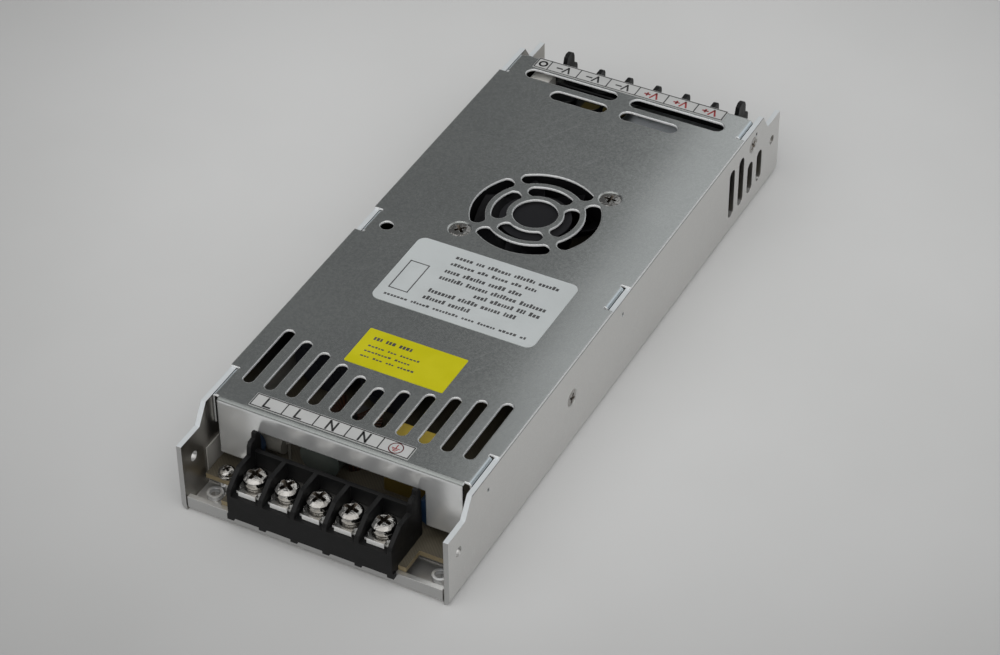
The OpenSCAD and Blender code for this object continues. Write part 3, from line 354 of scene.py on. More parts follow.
chassisLook = {
    "dark": (0.63, 0.626, 0.613), "light": (0.67, 0.665, 0.652), "rough": (0.31, 0.34), "metal": 0.8,
    "stretch": (380, 380, 380), "speckle": 1800.0, "clouds": 22.0, "bump": 0.003,
    "edge": 0.15 * mm, "rim": (0.88, 0.89, 0.90), "rimAmount": 0.5,
    "scuff": (0.82, 0.82, 0.81), "scuffAmount": 0.12, "scuffAngle": 1.1,
    "cutAbove": wallTop - 6.3 * mm, "cutColour": (0.66, 0.69, 0.71), "cutLean": (0.5, 1.1),
    # collars: half spacing across and along, radius, lowest height
    "collars": (halfWidth - 6.35 * mm, halfLength - 6.8 * mm, 2.5 * mm, 1.7 * mm),
    "collarColour": (0.86, 0.87, 0.88),
    # painted shadow band under the wall's top edge
    "gapShadow": (wallTop - 0.45 * mm, wallTop - 0.12 * mm), "gapShadowColour": (0.16, 0.16, 0.165),
    "inside": (0.62, 0.60, 0.57), "insideBelow": wallTop - 0.05 * mm,
    "endMetal": 0.9, "endColour": (0.48, 0.48, 0.475),
}
sinkLook = {
    "dark": (0.42, 0.44, 0.46), "light": (0.52, 0.54, 0.56), "rough": (0.3, 0.42), "metal": 1.0,
    "stretch": (600, 40, 900), "speckle": 1400.0, "clouds": 40.0, "bump": 0.06,
    "edge": 0.2 * mm, "rim": (0.85, 0.85, 0.85), "rimAmount": 0.6,
    "scuff": (0.8, 0.8, 0.8), "scuffAmount": 0.3, "scuffAngle": 0.2,
}
sheetRules = {
    "clouds": 0.4, "speckle": 0.6,  # shares of the mottle
    "upright": 0.9, "sideBeyond": 20 * mm, "endBeyond": 60 * mm,  # which faces are sides and ends
    "cutRough": 0.25, "cutMetal": 0.1, "grainHeight": 0.05 * mm,
}


def sideFold(tree, look, nx, x):
    lean = remap(tree, absolute(tree, nx), 0.06, 0.5)
    return times(tree, lean, above(tree, absolute(tree, x), look["foldBeyond"]))


def endFold(tree, ny, nz):
    return times(tree, remap(tree, absolute(tree, ny), 0.08, 0.4), remap(tree, nz, 0.02, 0.12))


def endFace(tree, ny, y):
    outward = above(tree, times(tree, ny, y), sheetRules["endBeyond"])
    return times(tree, outward, above(tree, absolute(tree, ny), sheetRules["upright"]))


def insideFace(tree, look, nx, ny, x, y, z):
    side = below(tree, times(tree, nx, x), -sheetRules["sideBeyond"])
    end = below(tree, times(tree, ny, y), -sheetRules["endBeyond"])
    return times(tree, calc(tree, "MAXIMUM", side, end), below(tree, z, look["insideBelow"]))


def gapShadowBand(tree, look, nx, z):
    low, high = look["gapShadow"]
    side = above(tree, absolute(tree, nx), sheetRules["upright"])
    return times(tree, above(tree, z, low), below(tree, z, high), side)


def cutFace(tree, look, nz, z):
    low, high = look["cutLean"]
    return times(tree, above(tree, z, look["cutAbove"]), above(tree, nz, low), below(tree, nz, high))


def collarSpot(tree, look, x, y, z):
    across, along, radius, low = look["collars"]
    u = calc(tree, "SUBTRACT", absolute(tree, x), across)
    v = calc(tree, "SUBTRACT", absolute(tree, y), along)
    far = calc(tree, "ADD", times(tree, u, u), times(tree, v, v))
    return times(tree, below(tree, far, radius ** 2), above(tree, z, low))


def sheetMetal(name, look):
    material, tree, shader, coords = newMaterial(name)
    grain = useGroup(tree, rolledGrain, Vector=coords, Stretch=look["stretch"],
                     Speckle=look["speckle"], Clouds=look["clouds"])
    edge = useGroup(tree, edgeRoundAndGlint, Radius=look["edge"])
    scuff = useGroup(tree, scuffMarks, Vector=coords, Angle=look["scuffAngle"])
    nx, ny, nz = splitVector(tree, faceNormal(tree))
    x, y, z = splitVector(tree, coords)
    mottle = calc(tree, "ADD", times(tree, grain["Clouds"], sheetRules["clouds"]),
                  times(tree, grain["Speckle"], sheetRules["speckle"]))
    tone = mixColour(tree, mottle, look["dark"], look["light"])
    tone = mixColour(tree, times(tree, scuff["Scuffs"], look["scuffAmount"]), tone, look["scuff"])
    rough = remap(tree, grain["Streaks"], 0, 1, *look["rough"])
    metal = look["metal"]
    normal = edge["Normal"]
    if "foldTintAndReflection" in look:  # the folds along the sides are paler and bluish: partly a zinc tint, partly painted reflection
        tone = mixColour(tree, sideFold(tree, look, nx, x), tone, look["foldTintAndReflection"])
    if "frontFold" in look:  # painted shade: the folds at both ends are darker
        tone = mixColour(tree, endFold(tree, ny, nz), tone, look["frontFold"], "MULTIPLY")
    # painted highlight: edges are mixed towards the pale rim tone
    tone = mixColour(tree, times(tree, edge["Highlight Edge"], look["rimAmount"]), tone, look["rim"])
    if "endColour" in look:  # the upright ends have a tone of their own
        end = endFace(tree, ny, y)
        tone = mixColour(tree, end, tone, look["endColour"])
        metal = remap(tree, end, 0, 1, metal, look["endMetal"])
    if "inside" in look:  # painted shade: the faces turned inwards are darker
        turned = insideFace(tree, look, nx, ny, x, y, z)
        tone = mixColour(tree, turned, tone, look["inside"], "MULTIPLY")
        metal = remap(tree, turned, 0, 1, metal, 1.0)
    # painted shadow: a dark band just under the wall's top edge
    if "gapShadow" in look:
        tone = mixColour(tree, gapShadowBand(tree, look, nx, z), tone, look["gapShadowColour"])
    if "cutColour" in look:  # punched and sheared faces are rougher and less metallic; their pale tone is partly painted highlight
        cut = cutFace(tree, look, nz, z)
        tone = mixColour(tree, cut, tone, look["cutColour"])
        rough = calc(tree, "ADD", rough, times(tree, cut, sheetRules["cutRough"]))
        metal = remap(tree, cut, 0, 1, metal, sheetRules["cutMetal"])
    if "collars" in look:
        tone = mixColour(tree, collarSpot(tree, look, x, y, z), tone, look["collarColour"])
    if "crown" in look:  # the sheet bows down a little towards its side folds
        part = calc(tree, "DIVIDE", absolute(tree, x), look["crownHalf"])
        fall = times(tree, calc(tree, "POWER", part, 3.0), -look["crown"])
        normal = bumpFrom(tree, fall, 1.0, 1.0, normal)
    normal = bumpFrom(tree, grain["Speckle"], look["bump"], sheetRules["grainHeight"], normal)
    feed(tree, shader.inputs["Base Color"], tone)
    feed(tree, shader.inputs["Metallic"], metal)
    feed(tree, shader.inputs["Roughness"], rough)
    feed(tree, shader.inputs["Normal"], normal)
    return material


# plated and turned metal

platedLook = {
    "base": (0.44, 0.43, 0.415), "tarnish": (0.25, 0.235, 0.215), "rough": (0.07, 0.2),
    "scale": 420.0, "edge": 0.15 * mm, "rim": (0.9, 0.89, 0.87), "ripple": 0.8,
}
# painted shade: the cross recesses get a dark finish of their own
recessShadeLook = {
    "base": (0.13, 0.11, 0.09), "tarnish": (0.05, 0.042, 0.035), "rough": (0.3, 0.5),
    "scale": 500.0, "edge": 0.06 * mm, "rim": (0.4, 0.38, 0.35),
}
tinLook = {
    "base": (0.60, 0.595, 0.58), "tarnish": (0.42, 0.40, 0.36), "rough": (0.16, 0.3),
    "scale": 300.0, "edge": 0.15 * mm, "rim": (0.9, 0.9, 0.89), "front": (0.88, 0.88, 0.87),
}
brassLook = {
    "base": (0.78, 0.58, 0.27), "tarnish": (0.42, 0.29, 0.13), "rough": (0.22, 0.45),
    "scale": 500.0, "edge": 0.1 * mm, "rim": (0.92, 0.75, 0.42),
}
bronzeLook = {
    "base": (0.52, 0.34, 0.19), "tarnish": (0.26, 0.17, 0.10), "rough": (0.35, 0.55),
    "scale": 700.0, "edge": 0.1 * mm, "rim": (0.62, 0.44, 0.28),
}
shaftLook = {
    "base": (0.62, 0.62, 0.63), "tarnish": (0.45, 0.45, 0.46), "rough": (0.15, 0.28),
    "scale": 900.0, "edge": 0.1 * mm, "rim": (0.85, 0.85, 0.86),
}
platedRules = {
    "grain": 6, "tarnish": 0.6, "rim": 0.6, "bump": 0.08, "grainHeight": 0.05 * mm,
    "rippleScale": 1100.0, "rippleHeight": 0.3 * mm,
    "frontLean": 0.6, "frontRough": 0.25, "frontMetal": 0.3,
}


def platedMetal(name, look):
    rules = platedRules
    material, tree, shader, coords = newMaterial(name)
    grain = useGroup(tree, mouldGrain, Vector=coords, Grain=look["scale"] * rules["grain"],
                     Mottle=look["scale"])
    edge = useGroup(tree, edgeRoundAndGlint, Radius=look["edge"])
    tone = mixColour(tree, times(tree, grain["Mottle"], rules["tarnish"]), look["base"], look["tarnish"])
    # painted highlight: edges are mixed towards the pale rim tone
    tone = mixColour(tree, times(tree, edge["Highlight Edge"], rules["rim"]), tone, look["rim"])
    rough, metal = remap(tree, grain["Mottle"], 0, 1, *look["rough"]), 1.0
    normal = bumpFrom(tree, grain["Height"], rules["bump"], rules["grainHeight"], edge["Normal"])
    if "ripple" in look:  # pressed heads are never quite smooth
        waves = noise(tree, coords, rules["rippleScale"], 1.0)
        normal = bumpFrom(tree, waves, look["ripple"], rules["rippleHeight"], normal)
    if "front" in look:  # painted highlight: the bent ends are paler, rougher and less metallic
        facing = absolute(tree, splitVector(tree, faceNormal(tree))[1])
        bent = above(tree, facing, rules["frontLean"])
        tone = mixColour(tree, bent, tone, look["front"])
        rough = calc(tree, "ADD", rough, times(tree, bent, rules["frontRough"]))
        metal = remap(tree, bent, 0, 1, 1.0, rules["frontMetal"])
    feed(tree, shader.inputs["Base Color"], tone)
    feed(tree, shader.inputs["Roughness"], rough)
    feed(tree, shader.inputs["Metallic"], metal)
    feed(tree, shader.inputs["Normal"], normal)
    return material


# moulded plastic, sleeves and ceramics

canLow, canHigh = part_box("output_capacitors")
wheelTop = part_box("fan_rotor")[1].z
plasticLooks = {
    "terminalBlack": {
        "base": (0.005, 0.005, 0.0055), "second": (0.008, 0.008, 0.008), "rim": (0.022, 0.022, 0.023),
        "rough": (0.4, 0.55), "grain": 2600.0, "bump": 0.10, "dust": 0.006, "gloss": 0.2,
    },
    "fanFrameBlack": {
        "base": (0.004, 0.004, 0.0045), "second": (0.006, 0.006, 0.0065), "rim": (0.012, 0.012, 0.012),
        "rough": (0.45, 0.6), "grain": 2400.0, "bump": 0.12, "dust": 0.003, "gloss": 0.1,
    },
    "fanWheelBlack": {
        "base": (0.004, 0.004, 0.005), "second": (0.006, 0.006, 0.007), "rim": (0.014, 0.014, 0.015),
        "rough": (0.42, 0.55), "grain": 2400.0, "bump": 0.10, "dust": 0.003, "gloss": 0.1,
        "cap": {"above": wheelTop - 0.2 * mm, "tone": (0.016, 0.016, 0.018)},
    },
    "packageEpoxy": {
        "base": (0.014, 0.014, 0.014), "second": (0.026, 0.026, 0.025), "rim": (0.05, 0.05, 0.05),
        "rough": (0.5, 0.7), "grain": 1800.0, "bump": 0.25, "dust": 0.04,
    },
    "trimmerBlue": {
        "base": (0.02, 0.075, 0.28), "second": (0.03, 0.10, 0.34), "rim": (0.10, 0.2, 0.5),
        "rough": (0.35, 0.5), "grain": 2200.0, "bump": 0.10, "dust": 0.05,
    },
    "fuseSleeve": {
        "base": (0.20, 0.19, 0.17), "second": (0.26, 0.25, 0.22), "rim": (0.30, 0.29, 0.27),
        "rough": (0.3, 0.45), "grain": 1500.0, "bump": 0.08, "dust": 0.05,
    },
    "thermistorDisc": {
        "base": (0.045, 0.055, 0.05), "second": (0.075, 0.085, 0.075), "rim": (0.12, 0.13, 0.12),
        "rough": (0.45, 0.6), "grain": 1400.0, "bump": 0.25, "dust": 0.05,
    },
    "filmYellow": {
        "base": (0.50, 0.36, 0.045), "second": (0.60, 0.45, 0.07), "rim": (0.70, 0.55, 0.15),
        "rough": (0.35, 0.5), "grain": 1800.0, "bump": 0.10, "dust": 0.05,
        "sides": (0.11, 0.075, 0.012),
    },
    "discBlue": {
        "base": (0.010, 0.028, 0.065), "second": (0.014, 0.038, 0.085), "rim": (0.03, 0.06, 0.12),
        "rough": (0.3, 0.42), "grain": 1500.0, "bump": 0.15, "dust": 0.05,
    },
    "ferriteGrey": {
        "base": (0.035, 0.034, 0.033), "second": (0.06, 0.058, 0.055), "rim": (0.11, 0.11, 0.10),
        "rough": (0.6, 0.8), "grain": 1200.0, "bump": 0.4, "dust": 0.04,
    },
    "magnetFerrite": {
        "base": (0.028, 0.027, 0.027), "second": (0.05, 0.048, 0.047), "rim": (0.09, 0.09, 0.09),
        "rough": (0.6, 0.8), "grain": 1600.0, "bump": 0.4, "dust": 0.0,
    },
    "outputCan": {
        "base": (0.004, 0.0045, 0.005), "second": (0.007, 0.0075, 0.008), "rim": (0.02, 0.02, 0.02),
        "rough": (0.25, 0.4), "grain": 900.0, "bump": 0.06, "dust": 0.04, "gloss": 0.2,
        "cap": {"above": canHigh.z - 0.2 * mm, "right": canHigh.x - 14.1 * mm,
                "front": (canLow.y + canHigh.y) / 2 - 0.2 * mm, "tone": (0.06, 0.046, 0.014)},
    },
    "canSleeve": {
        "base": (0.016, 0.018, 0.026), "second": (0.028, 0.03, 0.04), "rim": (0.07, 0.07, 0.08),
        "rough": (0.25, 0.4), "grain": 900.0, "bump": 0.06, "dust": 0.04,
    },
    "tapeYellow": {
        "base": (0.42, 0.27, 0.035), "second": (0.52, 0.35, 0.06), "rim": (0.6, 0.42, 0.1),
        "rough": (0.3, 0.45), "grain": 700.0, "bump": 0.12, "dust": 0.04,
    },
    "resistorCement": {
        "base": (0.78, 0.77, 0.73), "second": (0.88, 0.87, 0.83), "rim": (0.90, 0.89, 0.86),
        "rough": (0.65, 0.85), "grain": 1300.0, "bump": 0.5, "dust": 0.04,
    },
}
plasticRules = {
    "mottle": 14, "edge": 0.2 * mm, "rim": 0.5, "dust": (0.45, 0.43, 0.40), "gloss": 0.5,
    "sideShadeLean": 0.5, "grainHeight": 0.08 * mm,
}


def capSpot(tree, coords, cap):
    x, y, z = splitVector(tree, coords)
    spot = above(tree, z, cap["above"])
    if "right" in cap:
        spot = times(tree, spot, above(tree, x, cap["right"]), below(tree, y, cap["front"]))
    return spot


def mouldedPlastic(name, look):
    rules = plasticRules
    material, tree, shader, coords = newMaterial(name)
    grain = useGroup(tree, mouldGrain, Vector=coords, Grain=look["grain"],
                     Mottle=look["grain"] / rules["mottle"])
    edge = useGroup(tree, edgeRoundAndGlint, Radius=rules["edge"])
    film = useGroup(tree, dustFilm, Vector=coords, Amount=look["dust"])
    tone = mixColour(tree, grain["Mottle"], look["base"], look["second"])
    # painted highlight: edges are mixed towards the pale rim tone
    tone = mixColour(tree, times(tree, edge["Highlight Edge"], rules["rim"]), tone, look["rim"])
    tone = mixColour(tree, film["Dust"], tone, rules["dust"])
    if "cap" in look:  # the flat top of a can or a hub
        tone = mixColour(tree, capSpot(tree, coords, look["cap"]), tone, look["cap"]["tone"])
    if "sides" in look:  # painted shade: upright faces are darker
        upright = below(tree, splitVector(tree, faceNormal(tree))[2], rules["sideShadeLean"])
        tone = mixColour(tree, upright, tone, look["sides"])
    normal = bumpFrom(tree, grain["Height"], look["bump"], rules["grainHeight"], edge["Normal"])
    feed(tree, shader.inputs["Specular IOR Level"], look.get("gloss", rules["gloss"]))
    feed(tree, shader.inputs["Base Color"], tone)
    feed(tree, shader.inputs["Roughness"], remap(tree, grain["Mottle"], 0, 1, *look["rough"]))
    feed(tree, shader.inputs["Normal"], normal)
    return material


# paper, ink, film, board and floor share one plain surface, and each sets its own colour

def plainSurface(tree, shader, coords, look):
    grain = useGroup(tree, mouldGrain, Vector=coords, Grain=look["grain"], Mottle=look["mottle"])
    normal = bumpFrom(tree, grain["Height"], look["bump"], look["grainHeight"], faceNormal(tree))
    rough = look["rough"]
    if isinstance(rough, tuple):
        rough = remap(tree, grain["Mottle"], 0, 1, *rough)
    feed(tree, shader.inputs["Roughness"], rough)
    feed(tree, shader.inputs["Normal"], normal)
    return mixColour(tree, grain["Mottle"], look["base"], look["second"])


paperRules = {"grain": 1800.0, "mottle": 90.0, "bump": 0.05, "grainHeight": 0.05 * mm, "gloss": 0.3}
paperLooks = {
    "labelWhite": {"base": (0.545, 0.575, 0.58), "second": (0.58, 0.612, 0.618), "rough": (0.4, 0.52)},
    "labelYellow": {"base": (0.57, 0.53, 0.006), "second": (0.62, 0.575, 0.012), "rough": (0.36, 0.5),
                    "gloss": 0.2},
    "stripWhite": {"base": (0.50, 0.505, 0.50), "second": (0.54, 0.545, 0.54), "rough": (0.42, 0.55)},
    "inkBlack": {"base": (0.022, 0.022, 0.024), "second": (0.045, 0.045, 0.045), "rough": (0.45, 0.6)},
    "inkGrey": {"base": (0.06, 0.06, 0.062), "second": (0.10, 0.10, 0.10), "rough": (0.45, 0.6)},
    "inkRed": {"base": (0.28, 0.035, 0.035), "second": (0.34, 0.06, 0.06), "rough": (0.45, 0.6)},
}


def printedPaper(name, look):
    material, tree, shader, coords = newMaterial(name)
    look = {**paperRules, **look}
    feed(tree, shader.inputs["Base Color"], plainSurface(tree, shader, coords, look))
    feed(tree, shader.inputs["Specular IOR Level"], look["gloss"])
    return material


filmLook = {
    "base": (0.30, 0.29, 0.27), "second": (0.38, 0.37, 0.35), "rough": (0.3, 0.5),
    "grain": 900.0, "mottle": 70.0, "bump": 0.15, "grainHeight": 0.06 * mm,
}


def insulationFilm(name, look):
    material, tree, shader, coords = newMaterial(name)
    feed(tree, shader.inputs["Base Color"], plainSurface(tree, shader, coords, look))
    return material


floorLook = {
    "base": (0.66, 0.663, 0.66), "second": (0.71, 0.712, 0.712), "rough": 0.9,
    "grain": 700.0, "mottle": 5.0, "bump": 0.15, "grainHeight": 0.1 * mm,
    "lightPoolFalloff": (0.08, 0.30), "outerShade": (0.6, 0.6, 0.6), "middle": (0.0, 0.06, 0.0),
    "flat": 1.3, "reach": 2.4, "rise": 0.75, "rings": 24, "sides": 96,
}


def floorCloth(name, look):
    material, tree, shader, coords = newMaterial(name)
    tone = plainSurface(tree, shader, coords, look)
    # painted pool of light: the floor darkens away from the middle
    away = vectorMath(tree, "DISTANCE", coords, look["middle"], "Value")
    outerShaded = mixColour(tree, 1.0, tone, look["outerShade"], "MULTIPLY")
    tone = mixColour(tree, remap(tree, away, *look["lightPoolFalloff"]), tone, outerShaded)
    feed(tree, shader.inputs["Base Color"], tone)
    return material


def makeFloor(look):
    mesh = bpy.data.meshes.new("floor")
    form = bmesh.new()
    rings = []
    for i in range(1, look["rings"] + 1):
        r = look["reach"] * i / look["rings"]
        height = max(0.0, (r - look["flat"]) / (look["reach"] - look["flat"])) ** 2 * look["rise"]
        turns = [2 * math.pi * k / look["sides"] for k in range(look["sides"])]
        rings.append([form.verts.new((r * math.cos(a), r * math.sin(a), height)) for a in turns])
    middle = form.verts.new((0, 0, 0))
    for k in range(look["sides"]):
        n = (k + 1) % look["sides"]
        form.faces.new((middle, rings[0][k], rings[0][n]))
        for inner, outer in zip(rings, rings[1:]):
            form.faces.new((inner[k], outer[k], outer[n], inner[n]))
    for face in form.faces:
        face.smooth = True
    form.to_mesh(mesh)
    form.free()
    floor = bpy.data.objects.new("floor", mesh)
    floor.data.materials.append(floorCloth("floorCloth", look))
    scene.collection.objects.link(floor)


makeFloor(floorLook)

# windings and the board

windingLooks = {
    # wound node, turns seen round it, wire tone, gap tone
    "chokeWire": ("line_choke_coils", 46.0, (0.06, 0.022, 0.010), (0.01, 0.005, 0.003)),
    "outputWire": ("output_choke", 38.0, (0.30, 0.11, 0.03), (0.03, 0.012, 0.005)),
    "statorWire": ("fan_stator", 40.0, (0.30, 0.11, 0.03), (0.03, 0.012, 0.005)),
}
windingRules = {
    "crest": 0.6, "dirt": 0.5, "rough": (0.25, 0.45), "coat": 0.4,
    "grain": 2400.0, "mottle": 220.0, "bump": 0.8, "height": 0.3 * mm,
}


def woundWire(name, look):
    node, turns, wire, gap = look
    rules = windingRules
    low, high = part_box(node)
    material, tree, shader, coords = newMaterial(name)
    sweep = addNode(tree, "ShaderNodeTexGradient", gradient_type="RADIAL")
    feed(tree, sweep.inputs["Vector"], vectorMath(tree, "SUBTRACT", coords, (low + high) / 2))
    wave = calc(tree, "SINE", times(tree, sweep.outputs["Fac"], turns * 2 * math.pi))
    crown = remap(tree, wave, -1, rules["crest"])
    grain = useGroup(tree, mouldGrain, Vector=coords, Grain=rules["grain"], Mottle=rules["mottle"])
    tone = mixColour(tree, crown, gap, wire)
    tone = mixColour(tree, times(tree, grain["Mottle"], rules["dirt"]), tone, gap)
    normal = bumpFrom(tree, crown, rules["bump"], rules["height"], faceNormal(tree))
    feed(tree, shader.inputs["Base Color"], tone)
    feed(tree, shader.inputs["Roughness"], remap(tree, grain["Mottle"], 0, 1, *rules["rough"]))
    feed(tree, shader.inputs["Coat Weight"], rules["coat"])
    feed(tree, shader.inputs["Normal"], normal)
    return material


# painted shade: the laminate is darker than its pale tan, standing in for the shade inside the case
boardLook = {
    "base": (0.075, 0.064, 0.044), "second": (0.11, 0.095, 0.066), "rough": (0.45, 0.65),
    "grain": 1500.0, "mottle": 130.0, "bump": 0.2, "grainHeight": 0.06 * mm,
    "weave": 600.0, "weaveBend": 1.5, "trace": (0.03, 0.028, 0.02), "traceAmount": 0.35,
    "cut": (0.25, 0.20, 0.115), "cutLean": 0.5,
}


def boardLaminate(name, look):
    material, tree, shader, coords = newMaterial(name)
    face = plainSurface(tree, shader, coords, look)
    weave = addNode(tree, "ShaderNodeTexWave", wave_type="BANDS", bands_direction="DIAGONAL")
    feed(tree, weave.inputs["Vector"], coords)
    feed(tree, weave.inputs["Scale"], look["weave"])
    feed(tree, weave.inputs["Distortion"], look["weaveBend"])
    face = mixColour(tree, times(tree, weave.outputs["Fac"], look["traceAmount"]), face, look["trace"])
    nz = splitVector(tree, faceNormal(tree))[2]
    sawn = below(tree, absolute(tree, nz), look["cutLean"])
    feed(tree, shader.inputs["Base Color"], mixColour(tree, sawn, face, look["cut"]))
    return material


finishes = {
    "coverSheet": sheetMetal("coverSheet", coverLook),
    "chassisSheet": sheetMetal("chassisSheet", chassisLook),
    "sinkSheet": sheetMetal("sinkSheet", sinkLook),
    "platedSteel": platedMetal("platedSteel", platedLook),
    "screwRecessShade": platedMetal("screwRecessShade", recessShadeLook),
    "tinPlate": platedMetal("tinPlate", tinLook),
    "trimmerBrass": platedMetal("trimmerBrass", brassLook),
    "bushBronze": platedMetal("bushBronze", bronzeLook),
    "shaftSteel": platedMetal("shaftSteel", shaftLook),
    "boardLaminate": boardLaminate("boardLaminate", boardLook),
    "insulationFilm": insulationFilm("insulationFilm", filmLook),
}
finishes.update({name: mouldedPlastic(name, look) for name, look in plasticLooks.items()})
finishes.update({name: printedPaper(name, look) for name, look in paperLooks.items()})
finishes.update({name: woundWire(name, look) for name, look in windingLooks.items()})

nodeFinish = {
    "chassis": "chassisSheet", "top_cover": "coverSheet", "insulation_sheet": "insulationFilm",
    "main_board": "boardLaminate", "board_screws": "platedSteel", "cover_screws": "platedSteel",
    "fan_screws": "platedSteel", "heat_bar_screw": "platedSteel", "ac_terminal_screws": "platedSteel",
    "dc_terminal_screws": "platedSteel", "fan_frame": "fanFrameBlack", "fan_rotor": "fanWheelBlack",
    "fan_bush": "bushBronze", "fan_stator": "statorWire", "fan_magnet": "magnetFerrite",
    "fan_shaft": "shaftSteel", "ac_terminal_housing": "terminalBlack",
    "dc_terminal_housing": "terminalBlack", "ac_contacts": "tinPlate", "dc_contacts": "tinPlate",
    "ac_clamp_plates": "tinPlate", "dc_clamp_plates": "tinPlate", "trimmer_body": "trimmerBlue",
    "trimmer_screw": "trimmerBrass", "line_fuse": "fuseSleeve", "inrush_thermistor": "thermistorDisc",
    "x_capacitor": "filmYellow", "y_capacitors": "discBlue", "line_choke_core": "ferriteGrey",
    "line_choke_coils": "chokeWire", "bridge_rectifier": "packageEpoxy", "bulk_capacitors": "canSleeve",
    "primary_heat_bar": "sinkSheet", "primary_transistors": "packageEpoxy",
    "transformer_core": "ferriteGrey", "transformer_coil": "tapeYellow", "output_heatsink": "sinkSheet",
    "output_rectifiers": "packageEpoxy", "output_choke": "outputWire", "output_capacitors": "outputCan",
    "load_resistor": "resistorCement", "rating_label": "labelWhite", "yellow_label": "labelYellow",
    "ac_marking_strip": "stripWhite", "dc_marking_strip": "stripWhite",
}
for nodeName, finishName in nodeFinish.items():
    slots = nodes[nodeName].data.materials
    slots.clear()
    slots.append(finishes[finishName])
print("finishes on", len(nodeFinish), "nodes")

# screws: one tree makes every head, with sizes as inputs, in mm apart from the dome

screwLooks = {
    "terminal": {
        "Head Radius": 3.4, "Seat Radius": 3.4, "Head Height": 2.6, "Dome": 0.42,
        "Recess Length": 5.0, "Recess Width": 1.2, "Recess Depth": 1.5,
        "Washer Radius": 3.0, "Washer Height": 1.0, "Shank Radius": 1.7, "Shank Length": 6.7,
    },
    "board": {
        "Head Radius": 2.2, "Seat Radius": 2.2, "Head Height": 1.54, "Dome": 0.45,
        "Recess Length": 2.5, "Recess Width": 0.7, "Recess Depth": 0.9,
        "Washer Radius": 2.5, "Washer Height": 0.6, "Shank Radius": 1.3, "Shank Length": 5.0,
    },
    "fan": {
        "Head Radius": 3.4, "Seat Radius": 1.5, "Head Height": 1.9, "Dome": 0.22,
        "Recess Length": 3.7, "Recess Width": 0.9, "Recess Depth": 1.3,
        "Washer Radius": 0.0, "Washer Height": 0.0, "Shank Radius": 1.5, "Shank Length": 8.0,
    },
    "wall": {
        "Head Radius": 2.8, "Seat Radius": 1.5, "Head Height": 1.3, "Dome": 0.3,
        "Recess Length": 3.1, "Recess Width": 0.8, "Recess Depth": 0.9,
        "Washer Radius": 0.0, "Washer Height": 0.0, "Shank Radius": 1.5, "Shank Length": 2.8,
    },
}
screwForm = {
    "headSides": 40, "headRings": 5, "crownRings": 7, "domePower": 4.0, "recessTaper": (0.5, 1.5),
    "washerSteps": 40, "washerSweep": 348, "washerRise": 0.4, "washerBar": 0.84,
    "leastWasher": 0.01 * mm, "shankSides": 24, "sharpAngle": 35,
}


def lift(tree, geometry, height):
    node = addNode(tree, "GeometryNodeTransform")
    feed(tree, node.inputs["Geometry"], geometry)
    feed(tree, node.inputs["Translation"], joinVector(tree, 0.0, 0.0, height))
    return node.outputs["Geometry"]


def reshape(tree, geometry, position=None, offset=None):
    node = addNode(tree, "GeometryNodeSetPosition")
    feed(tree, node.inputs["Geometry"], geometry)
    if position is not None:
        feed(tree, node.inputs["Position"], position)
    if offset is not None:
        feed(tree, node.inputs["Offset"], offset)
    return node.outputs["Geometry"]


def isOver(tree, value, limit):
    node = addNode(tree, "FunctionNodeCompare", data_type="FLOAT", operation="GREATER_THAN")
    feed(tree, node.inputs[0], value)
    feed(tree, node.inputs[1], limit)
    return node.outputs[0]


def readAttribute(tree, name, kind):
    node = addNode(tree, "GeometryNodeInputNamedAttribute", data_type=kind)
    feed(tree, node.inputs["Name"], name)
    return node.outputs["Attribute"]


def domedBlank(tree, given):
    blank = addNode(tree, "GeometryNodeMeshCone")
    for key, value in (("Vertices", screwForm["headSides"]), ("Side Segments", screwForm["headRings"]),
                       ("Fill Segments", screwForm["crownRings"]), ("Radius Top", given["Head Radius"]),
                       ("Radius Bottom", given["Seat Radius"]), ("Depth", given["Head Height"])):
        feed(tree, blank.inputs[key], value)
    x, y, z = splitVector(tree, addNode(tree, "GeometryNodeInputPosition").outputs[0])
    reach = calc(tree, "SQRT", calc(tree, "ADD", times(tree, x, x), times(tree, y, y)))
    out = calc(tree, "POWER", calc(tree, "DIVIDE", reach, given["Head Radius"]), screwForm["domePower"])
    fall = times(tree, out, z, times(tree, given["Dome"], -1.0))  # the rim falls away
    return reshape(tree, blank.outputs["Mesh"], offset=joinVector(tree, 0.0, 0.0, fall))


def cutRecess(tree, given, head):
    cut = addNode(tree, "GeometryNodeMeshBoolean", operation="DIFFERENCE")
    feed(tree, cut.inputs["Mesh 1"], head)
    x, y, z = splitVector(tree, addNode(tree, "GeometryNodeInputPosition").outputs[0])
    taper = addNode(tree, "ShaderNodeMapRange")  # the cross is narrower at its foot
    foot, mouth = screwForm["recessTaper"]
    for key, value in (("Value", z), ("From Min", times(tree, given["Recess Depth"], -1.0)),
                       ("From Max", given["Recess Depth"]), ("To Min", foot), ("To Max", mouth)):
        feed(tree, taper.inputs[key], value)
    narrow = taper.outputs["Result"]
    tapered = joinVector(tree, times(tree, x, narrow), times(tree, y, narrow), z)
    depth = times(tree, given["Recess Depth"], 2.0)
    for length, width in (("Recess Length", "Recess Width"), ("Recess Width", "Recess Length")):
        arm = addNode(tree, "GeometryNodeMeshCube")
        feed(tree, arm.inputs["Size"], joinVector(tree, given[length], given[width], depth))
        flagged = addNode(tree, "GeometryNodeStoreNamedAttribute", data_type="FLOAT", domain="FACE")
        feed(tree, flagged.inputs["Geometry"], reshape(tree, arm.outputs["Mesh"], tapered))
        feed(tree, flagged.inputs["Name"], "recess")
        feed(tree, flagged.inputs["Value"], 1.0)
        feed(tree, cut.inputs["Mesh 2"], lift(tree, flagged.outputs["Geometry"], given["Head Height"]))
    return lift(tree, cut.outputs["Mesh"], given["Washer Height"])


